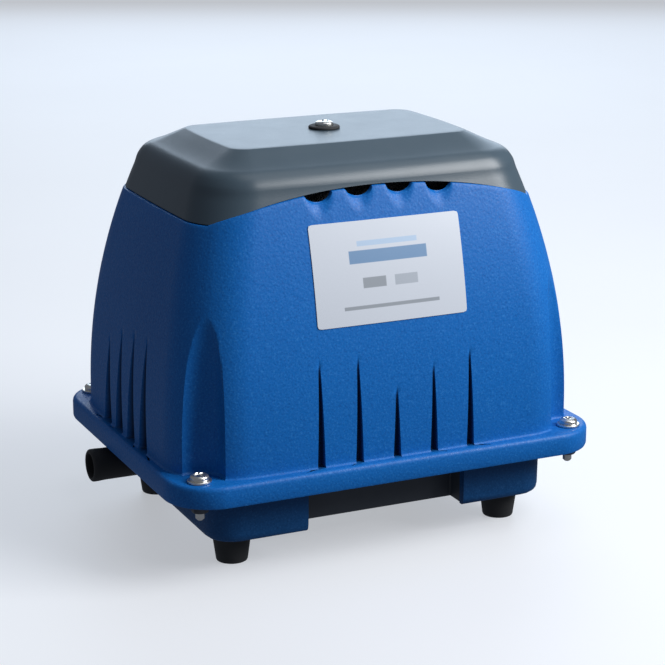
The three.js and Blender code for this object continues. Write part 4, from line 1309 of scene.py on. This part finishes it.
@dataclass
class CrossScrew:
    """Pan-head screw: a domed head with a cross recess, over a plain shank."""

    head_radius: float
    head_height: float
    seat: float
    shank_radius: float
    tip: float
    washer_radius: float = 0.0
    washer_height: float = 0.0
    arm_width: float = 0.13
    arm_reach: float = 0.56
    recess_depth: float = 0.52
    rim_share: float = 0.42
    roundness: float = 2.6
    rings: int = 30
    steps: int = 96

    def recess(self, x: np.ndarray, y: np.ndarray) -> np.ndarray:
        """Depth of the cross: each arm's depth falls off with the distance across and along it."""
        width, reach = self.head_radius * self.arm_width, self.head_radius * self.arm_reach
        arms = []
        for across, along in ((np.abs(x), np.abs(y)), (np.abs(y), np.abs(x))):
            side = smooth_step((width * 1.5 - across) / (width * 0.9))
            end = smooth_step((reach - along) / (reach * 0.35))
            arms.append(side * end)
        return self.head_height * self.recess_depth * np.maximum(arms[0], arms[1])

    def build(self, name: str, centre: tuple[float, float], turn: float) -> bpy.types.Object:
        """Head as a dome less the recess, then its rim, washer face, shank and tip, down one profile.

        Args:
            name: the piece's name.
            centre: x and y of its axis.
            turn: angle of the cross in radians.

        Returns:
            The new object.
        """
        angle = full_turn(self.steps)
        share = np.linspace(0.03, 1.0, self.rings)[:, None]
        radius = self.head_radius * np.sin(share * math.pi / 2 * 0.94)
        top = self.seat + self.washer_height
        round_off = np.sqrt(np.maximum(0.0, 1 - (radius / self.head_radius) ** self.roundness))
        dome = top + self.head_height * (self.rim_share + (1 - self.rim_share) * round_off)
        x, y = radius * np.cos(angle), radius * np.sin(angle)
        turned_x = x * math.cos(turn) + y * math.sin(turn)
        turned_y = y * math.cos(turn) - x * math.sin(turn)
        z = np.broadcast_to(dome, x.shape) - self.recess(turned_x, turned_y)
        rows = [np.stack([x, y, z], axis=-1)]
        profile = [(self.head_radius, top + 0.3 * self.head_height), (self.head_radius * 0.99, top)]
        if self.washer_radius:
            profile += [(self.washer_radius - 0.3, top), (self.washer_radius, top - 0.25)]
            profile += [(self.washer_radius, self.seat + 0.2), (self.washer_radius - 0.2, self.seat)]
        profile += [(self.shank_radius, self.seat), (self.shank_radius, self.tip + 1.0)]
        profile.append((self.shank_radius * 0.6, self.tip))
        for ring_radius, height in profile:
            ring = [ring_radius * np.cos(angle), ring_radius * np.sin(angle), np.full(self.steps, height)]
            rows.append(np.stack(ring, axis=-1)[None])
        points = np.concatenate(rows).reshape(-1, 3)
        count = len(points) // self.steps
        middle_z = float(points[0, 2])
        poles = np.array([[0.0, 0.0, middle_z], [0.0, 0.0, self.tip]])
        points = np.concatenate([points, poles]) + np.array([*centre, 0.0])
        faces = [grid_quads(count, self.steps), fan_tris(0, self.steps, count * self.steps, True)]
        faces.append(fan_tris((count - 1) * self.steps, self.steps, count * self.steps + 1))
        return make_piece(name, points, faces, 32.0)


@dataclass
class Fasteners:
    """The four flange screws with their nuts, and the cover's screw and washer."""

    form: HousingForm
    plated: bpy.types.Material
    rubber: bpy.types.Material
    # Dark copy of the zinc plating: painted shade for the nuts under the flange.
    dull_wear_and_shade: bpy.types.Material
    nut_low: float = 39.8
    nut_high: float = 43.7
    nut_across: float = 8.0
    nut_bore: float = 2.5
    cross_turns: tuple = (0.5, 1.1, 0.2, 0.85)
    cover_turn: float = 0.35
    washer: tuple = ((3.1, 213.1), (8.5, 213.1), (8.5, 214.0), (7.7, 214.6), (3.1, 214.6))
    steps: int = 72

    def hex_nut(self, name: str, x: float, y: float) -> bpy.types.Object:
        """Hexagon nut: the outline's radius is the flat's distance over the cosine from the flat's middle.

        The top and bottom corners are cut by a cone.
        """
        low, high, flat = self.nut_low, self.nut_high, self.nut_across / 2
        angle = full_turn(self.steps)
        offset = (angle + math.pi / 6) % (math.pi / 3) - math.pi / 6
        outline = flat / np.cos(offset)
        chamfer = np.minimum(outline, flat * 1.06)
        face, bore = np.minimum(chamfer, flat), np.full(self.steps, self.nut_bore)
        rows = [(bore, low), (bore, high), (face, high), (chamfer, high - 0.15), (outline, high - 0.75)]
        rows += [(outline, low + 0.75), (chamfer, low + 0.15), (face, low)]
        rings = [
            np.column_stack([radius * np.cos(angle) + x, radius * np.sin(angle) + y, np.full(self.steps, z)])
            for radius, z in rows
        ]
        return make_piece(name, np.concatenate(rings), [grid_quads(len(rows), self.steps, tube=True)], 25.0)

    def dress(self) -> None:
        """Builds and places every screw, nut and the cover's washer."""
        seat = self.form.flange_top + 0.1
        flange = CrossScrew(4.8, 3.1, seat, shank_radius=2.4, tip=35.5, washer_radius=6.2, washer_height=1.2)
        for (corner, side_x, side_y), turn in zip(CORNERS, self.cross_turns):
            x, y = side_x * self.form.screw_x, side_y * self.form.screw_y
            screw = flange.build(f"flange_screw_{corner}_plated", (x, y), turn)
            settle(screw, "pump", self.plated, "zinc", f"flange_screw_{corner}")
            # The nuts under the flange take the dark copy of the zinc, as painted shade.
            nut = self.hex_nut(f"flange_nut_{corner}_plated", x, y)
            settle(nut, "pump", self.dull_wear_and_shade, "zinc", f"flange_nut_{corner}")
        cover = CrossScrew(4.9, 2.5, seat=214.7, shank_radius=2.6, tip=185.5)
        screw = cover.build("cover_screw_plated", (0.0, 0.0), self.cover_turn)
        settle(screw, "cover_screw", self.plated, "zinc", "cover_screw")
        ring = Turned(list(self.washer), Axis.Z, (0.0, 0.0, 0.0), self.steps, round_off=0.3)
        washer = ring.build("cover_washer_ring")
        settle(washer, "cover", self.rubber, "black_rubber", "cover_washer")


@dataclass
class Feet:
    """Four tapered rubber feet, each with a step at its top and a screw recess below."""

    rubber: bpy.types.Material
    x: float = 79.5
    y: float = 57.0
    profile: tuple = (
        (3.2, 0.0), (8.3, 0.0), (9.4, 8.0), (10.2, 13.6), (10.5, 14.4), (10.5, 17.3), (4.6, 17.3),
        (4.6, 6.0), (3.2, 6.0),
    )

    def dress(self) -> None:
        """Builds each foot and puts it under its corner."""
        for corner, side_x, side_y in CORNERS:
            centre = (side_x * self.x, side_y * self.y, 0.0)
            turned = Turned(list(self.profile), Axis.Z, centre, 72, round_off=0.8)
            foot = turned.build(f"foot_{corner}_rubber")
            settle(foot, "pump", self.rubber, "black_rubber", f"foot_{corner}")


@dataclass
class Outlet:
    """Rubber hose stub on the left, with its band clip."""

    rubber: bpy.types.Material
    plated: bpy.types.Material
    centre: Point = (0.0, 29.0, 31.0)
    tube: tuple = (
        (6.7, -91.0), (8.9, -91.0), (8.8, -120.0), (9.0, -124.0), (9.0, -127.2), (8.2, -128.0),
        (6.9, -128.0), (6.7, -127.0),
    )
    band: tuple = (
        (9.2, -98.0), (10.0, -98.0), (10.25, -97.6), (10.25, -93.4), (10.0, -93.0), (9.2, -93.0),
    )

    def dress(self) -> None:
        """Builds the hose with a slightly flared end, and the band."""
        hose = Turned(list(self.tube), Axis.X, self.centre, 72, round_off=0.5).build("outlet_hose_rubber")
        settle(hose, "pump", self.rubber, "black_rubber", "outlet_hose")
        clip = Turned(list(self.band), Axis.X, self.centre, 72, round_off=0.15).build("outlet_clip_band")
        settle(clip, "pump", self.plated, "zinc", "outlet_clip")


@dataclass
class MainsGland:
    """Rear cable gland: a fluted cap round an open bore."""

    plastic: bpy.types.Material
    x: float = 68.0
    z: float = 77.0
    flutes: int = 12
    flute_depth: float = 0.45
    steps: int = 96
    profile: tuple = (
        (3.6, 78.0, 0.0), (6.2, 78.0, 0.0), (6.2, 90.2, 0.0), (8.4, 90.2, 0.0), (8.6, 90.6, 1.0),
        (8.6, 93.2, 1.0), (7.6, 95.2, 0.6), (6.4, 96.3, 0.2), (5.4, 96.6, 0.0), (4.1, 96.6, 0.0),
        (3.6, 96.0, 0.0),
    )

    def build(self) -> bpy.types.Object:
        """Turned profile of (radius, place along Y, share of the flute's depth).

        Its outer rings carry shallow flutes: the radius less a cosine's positive part.
        """
        angle = full_turn(self.steps)
        flute = self.flute_depth * np.maximum(0.0, np.cos(self.flutes * angle))
        rings = []
        for radius, y, share in self.profile:
            r = radius - flute * share
            places = [self.x + r * np.sin(angle), np.full(self.steps, y), self.z + r * np.cos(angle)]
            rings.append(np.column_stack(places))
        quads = grid_quads(len(rings), self.steps, tube=True)
        return make_piece("cable_gland_cap", np.concatenate(rings), [quads], 40.0)

    def dress(self) -> None:
        """Builds the gland and puts it in place."""
        settle(self.build(), "pump", self.plastic, "black_plastic", "cable_gland")


# ---- base, filter and motor --------------------------------------------------------


@dataclass
class Base:
    """Lower housing and air tank, with rounded edges."""

    # Lower housing paint, darkened in part as painted shade under the flange.
    paint: bpy.types.Material
    tank_plastic: bpy.types.Material
    plastic: bpy.types.Material
    rubber: bpy.types.Material

    def dress(self) -> None:
        """Rounds and dresses the base castings; flat hidden pieces keep their CAD shape."""
        housing = refined_copy("lower_housing", "lower_housing_casting", 1.0)
        settle(housing, "pump", self.paint, "base_paint", "lower_housing")
        tank = refined_copy("air_tank", "air_tank_moulding", 0.8)
        settle(tank, "pump", self.tank_plastic, "black_plastic", "air_tank")
        dress_nodes(self.plastic, "tank_lid", "gland_nut")
        dress_nodes(self.rubber, "housing_gasket")


@dataclass
class FilterPack:
    """Tray and foam under the cover."""

    plastic: bpy.types.Material
    half_x: float = 84.0
    half_y: float = 56.5
    radius: float = 20.0
    low: float = 183.5
    high: float = 197.5
    hole: float = 7.2
    face_ripple: float = 0.13
    side_ripple: float = 0.1
    side_lifts: tuple = (0.62, 0.3, 0.0, -0.3, -0.62)

    def foam(self) -> bpy.types.Object:
        """Soft slab: rings out from the hole over the top, down the side and back under.

        The faces swell a little between the hole and the rim, and pores ripple the surface.
        """
        outline = rounded_ring(self.half_x - 0.6, self.half_y - 0.6, self.radius, 0.8, (60, 40), 16)
        angle = np.arctan2(outline[:, 1], outline[:, 0])
        inner = self.hole * np.column_stack([np.cos(angle), np.sin(angle)])
        middle = (self.low + self.high) / 2
        half = (self.high - self.low) / 2
        shares = np.linspace(0.0, 1.0, 26)
        rng = np.random.default_rng(7)
        rings = []
        for sign in (1.0, -1.0):
            order = shares if sign > 0 else shares[::-1]
            for share in order:
                ring = inner + (outline - inner) * share
                edge = max(share - 0.93, 0.0) / 0.07
                rim = max(0.05 - share, 0.0) / 0.05
                height = half - 0.9 - 1.4 * edge**2 - 0.6 * rim + 0.5 * math.sin(math.pi * share)
                ripple = rng.normal(0.0, self.face_ripple, len(ring))
                rings.append(np.column_stack([ring, middle + sign * height + ripple]))
            if sign > 0:
                for lift in self.side_lifts:
                    swell = 1 + 0.004 * (1 - lift * lift)
                    ripple = rng.normal(0.0, self.side_ripple, (len(outline), 2))
                    level = np.full(len(outline), middle + lift * half)
                    rings.append(np.column_stack([outline * swell + ripple, level]))
        quads = grid_quads(len(rings), len(outline), tube=True)
        return make_piece("filter_foam_pad", np.concatenate(rings), [quads], 60.0)

    def dress(self) -> None:
        """Builds the foam, and dresses the tray."""
        pad = self.foam()
        settle(pad, "filter", OpenCellFoam("open_cell_foam").make(), "filter_foam", "filter_foam")
        tray = refined_copy("filter_tray", "filter_tray_moulding", 0.5, 2)
        settle(tray, "pump", self.plastic, "black_plastic", "filter_tray")


@dataclass
class Motor:
    """Everything inside the housing: stators, coils, armature and compressor heads."""

    rubber: bpy.types.Material
    plated: bpy.types.Material
    turns: int = 19
    steps_per_turn: int = 6
    wire_rise: float = 0.45
    corner: float = 8.0
    bore: tuple[float, float, float] = (10.8, 22.8, 1.0)

    def coil(self, node: str, name: str) -> bpy.types.Object:
        """Winding round a leg: a rounded rectangle swept along the leg, ridged once for each turn.

        The outline grows and shrinks by the positive half of a sine, so each turn stands proud.
        """
        low, high = (np.array(corner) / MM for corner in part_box(node))
        low, high = low - [MIDDLE_X / MM, 0, 0], high - [MIDDLE_X / MM, 0, 0]
        middle_z = (low[2] + high[2]) / 2
        half_x, half_z = (high[0] - low[0]) / 2, (high[2] - low[2]) / 2
        steps = self.turns * self.steps_per_turn
        place = np.linspace(low[1] + 0.2, high[1] - 0.2, steps + 1)
        ridge = self.wire_rise * np.abs(np.sin(np.linspace(0.0, math.pi * self.turns, steps + 1)))
        outline = rounded_ring(half_x, half_z, self.corner, 0.0, (8, 12), 8)
        scale = np.array([half_x, half_z])
        rings = []
        for y, bulge in zip(place, ridge):
            ring = outline * (1 - (0.5 - bulge) / scale)
            rings.append(np.column_stack([ring[:, 0], np.full(len(ring), y), middle_z + ring[:, 1]]))
        bore = rounded_ring(*self.bore, 0.0, (8, 12), 8)
        for y in (place[-1], place[0]):
            rings.append(np.column_stack([bore[:, 0], np.full(len(bore), y), middle_z + bore[:, 1]]))
        quads = grid_quads(len(rings), len(outline), tube=True)
        return make_piece(name, np.concatenate(rings), [quads], 50.0)

    def dress(self) -> None:
        """Winds the coils, rounds the head castings and dresses the pieces that keep their CAD shape."""
        wire = CopperWinding("enamelled_copper").make()
        for place in ("rear", "front"):
            winding = self.coil(f"coil_{place}", f"coil_{place}_winding")
            settle(winding, "pump", wire, "copper_winding", f"coil_{place}")
        nylon = MouldedPlastic(
            "natural_nylon", (0.62, 0.58, 0.48), roughness=0.45, grain_depth=0.04,
            dust=(0.5, 0.46, 0.38), dust_share=0.2,
        ).make()
        dress_nodes(nylon, "bobbin_rear", "bobbin_front", "terminal_block")
        dress_nodes(Laminations("core_laminations").make(), "stator_core_rear", "stator_core_front")
        casting = CastMetal("bare_casting", (0.55, 0.56, 0.58)).make()
        sides = ("right", "left")
        for side in sides:
            for part in ("valve_box", "head_cover"):
                head = refined_copy(f"{part}_{side}", f"{part}_{side}_casting", 0.8)
                settle(head, "pump", casting, "cast_aluminium", f"{part}_{side}")
        dress_nodes(casting, "motor_frame", "armature_rod", *(f"diaphragm_plate_{side}" for side in sides))
        ferrite = MouldedPlastic(
            "ground_ferrite", (0.045, 0.046, 0.05), roughness=0.5, grain_depth=0.08
        ).make()
        dress_nodes(ferrite, *(f"magnet_{side}" for side in sides))
        dress_nodes(self.plated, *(f"rod_nut_{side}" for side in sides))
        rubber_parts = ("diaphragm", "connector_tube", "intake_flap", "delivery_flap")
        dress_nodes(self.rubber, *(f"{part}_{side}" for part in rubber_parts for side in sides))
        dress_nodes(self.rubber, *(f"damper_{corner}" for corner, _, _ in CORNERS))


# ---- studio ---------------------------------------------------------------------------


@dataclass
class Studio:
    """Pale floor, soft lights and the camera."""

    azimuth: float = -24.82
    elevation: float = 15.82
    distance: float = 1.13
    lens: float = 111.0
    aim_height: float = 0.099
    aim_right: float = 0.0045
    light_aim: Point = (0.0, 0.0, 0.11)
    floor_radius: float = 4000.0
    floor_steps: int = 96

    def camera(self) -> None:
        """Camera on a sphere about the aim point, looking at it."""
        turn, climb = math.radians(self.azimuth), math.radians(self.elevation)
        back = Vector((math.sin(turn) * math.cos(climb), -math.cos(turn) * math.cos(climb), math.sin(climb)))
        right = Vector((math.cos(turn), math.sin(turn), 0.0))
        aim = Vector((MIDDLE_X, 0.0, self.aim_height)) + right * self.aim_right
        data = bpy.data.cameras.new("camera")
        data.lens = self.lens
        data.sensor_width = 36.0
        camera = bpy.data.objects.new("camera", data)
        camera.location = aim + back * self.distance
        camera.rotation_mode = "QUATERNION"
        camera.rotation_quaternion = (-back).to_track_quat("-Z", "Y")
        bpy.context.scene.collection.objects.link(camera)
        bpy.context.scene.camera = camera

    def light(self, name: str, place: Point, size: float, power: float, colour: Colour = (1, 1, 1)) -> None:
        """A square soft light aimed at the pump's middle.

        Args:
            name: the light's name.
            place: where it hangs, in metres.
            size: side length in metres.
            power: watts.
            colour: its tint.
        """
        data = bpy.data.lights.new(name, "AREA")
        data.size = size
        data.energy = power
        data.color = colour
        lamp = bpy.data.objects.new(name, data)
        lamp.location = place
        lamp.rotation_mode = "QUATERNION"
        lamp.rotation_quaternion = (Vector(self.light_aim) - Vector(place)).to_track_quat("-Z", "Y")
        bpy.context.scene.collection.objects.link(lamp)

    def floor(self) -> None:
        """A wide pale disc with a faint mottle, a little self-lit, whose bounce stays off the pump."""
        steps = self.floor_steps
        angle = full_turn(steps)
        rim = self.floor_radius * np.column_stack([np.cos(angle), np.sin(angle), np.zeros(steps)])
        points = np.concatenate([rim, [[0.0, 0.0, 0.0]]])
        disc = make_piece("studio_floor", points, [fan_tris(0, steps, steps)])
        pale, shade = (0.40, 0.41, 0.43), (0.38, 0.39, 0.41)
        finish = Finish("pale_floor", pale, 0.6)
        mottle = finish.noise(3.0, 3.0)
        finish.set("Base Color", finish.blend(finish.span(mottle, 0.3, 0.7), pale, shade))
        finish.set("Emission Color", (0.88, 0.91, 0.96, 1.0))
        finish.set("Emission Strength", 0.50)
        disc.data.materials.append(finish.material)
        disc.visible_diffuse = disc.visible_glossy = False

    def world(self) -> None:
        """Dim even light all round, a pale backdrop that only the camera sees, and plain view colours."""
        world = bpy.data.worlds.new("surroundings")
        world.use_nodes = True
        tree = world.node_tree
        dim = tree.nodes["Background"]
        pale = tree.nodes.new("ShaderNodeBackground")
        tints = ((dim, (0.80, 0.87, 1.0), 0.19), (pale, (0.84, 0.90, 0.97), 0.86))
        for background, colour, strength in tints:
            background.inputs["Color"].default_value = (*colour, 1.0)
            background.inputs["Strength"].default_value = strength
        backdrop = tree.nodes.new("ShaderNodeMixShader")
        direct = tree.nodes.new("ShaderNodeLightPath").outputs["Is Camera Ray"]
        output = tree.nodes["World Output"].inputs["Surface"]
        for source, socket in ((direct, 0), (dim.outputs[0], 1), (pale.outputs[0], 2)):
            tree.links.new(source, backdrop.inputs[socket])
        tree.links.new(backdrop.outputs[0], output)
        bpy.context.scene.world = world
        bpy.context.scene.view_settings.view_transform = "Standard"

    def build(self) -> None:
        """Sets up the whole studio."""
        self.camera()
        self.floor()
        self.world()
        self.light("key", (0.74, -0.66, 0.84), size=0.75, power=19.5)
        self.light("overhead", (0.45, -0.1, 1.6), size=1.1, power=4.0, colour=(0.95, 0.97, 1.0))
        self.light("rear_sheet", (0.85, 1.8, 0.95), size=1.5, power=16.0, colour=(0.70, 0.84, 1.0))


def main() -> None:
    """Builds the studio and every sub-assembly of the pump, in order."""
    logging.basicConfig(level=logging.INFO, format="%(name)s: %(message)s")
    Studio().build()
    blue = TexturedPaint(
        "blue_powder_coat", colour=(0.004, 0.130, 0.46), light=(0.045, 0.25, 0.62), dark=(0.002, 0.070, 0.28)
    ).make()
    # The base's paint is a darker blue than the casting's, darkened further as painted shade under the
    # flange.
    base = TexturedPaint(
        "base_powder_coat_and_painted_shade", colour=(0.005, 0.068, 0.215), light=(0.035, 0.135, 0.34),
        dark=(0.002, 0.036, 0.125), roughness=0.5,
    ).make()
    slate = MouldedPlastic("slate_plastic", (0.050, 0.079, 0.105), roughness=0.33, dust_share=0.02).make()
    black = MouldedPlastic("black_plastic", (0.014, 0.016, 0.019), roughness=0.5, grain_depth=0.06).make()
    tank = MouldedPlastic("tank_plastic", (0.040, 0.049, 0.064), roughness=0.45, grain_depth=0.06).make()
    rubber = MouldedRubber("black_rubber").make()
    plated = PlatedSteel("bright_zinc", (0.78, 0.77, 0.74), roughness=0.24).make()
    form = HousingForm()
    UpperHousing(form, blue).dress()
    RatingPlate(form).dress()
    FilterCover(form, slate).dress()
    # A dark copy of the zinc plating, painted shade for the nuts that sit under the flange.
    dull_wear_and_shade = PlatedSteel("zinc_with_painted_shade", (0.10, 0.11, 0.13), roughness=0.5, dull=(0.05, 0.05, 0.055)).make()
    Fasteners(form, plated, rubber, dull_wear_and_shade).dress()
    Feet(rubber).dress()
    Outlet(rubber, plated).dress()
    MainsGland(black).dress()
    Base(base, tank, black, rubber).dress()
    FilterPack(black).dress()
    Motor(rubber, plated).dress()


if __name__ == "__main__":
    main()
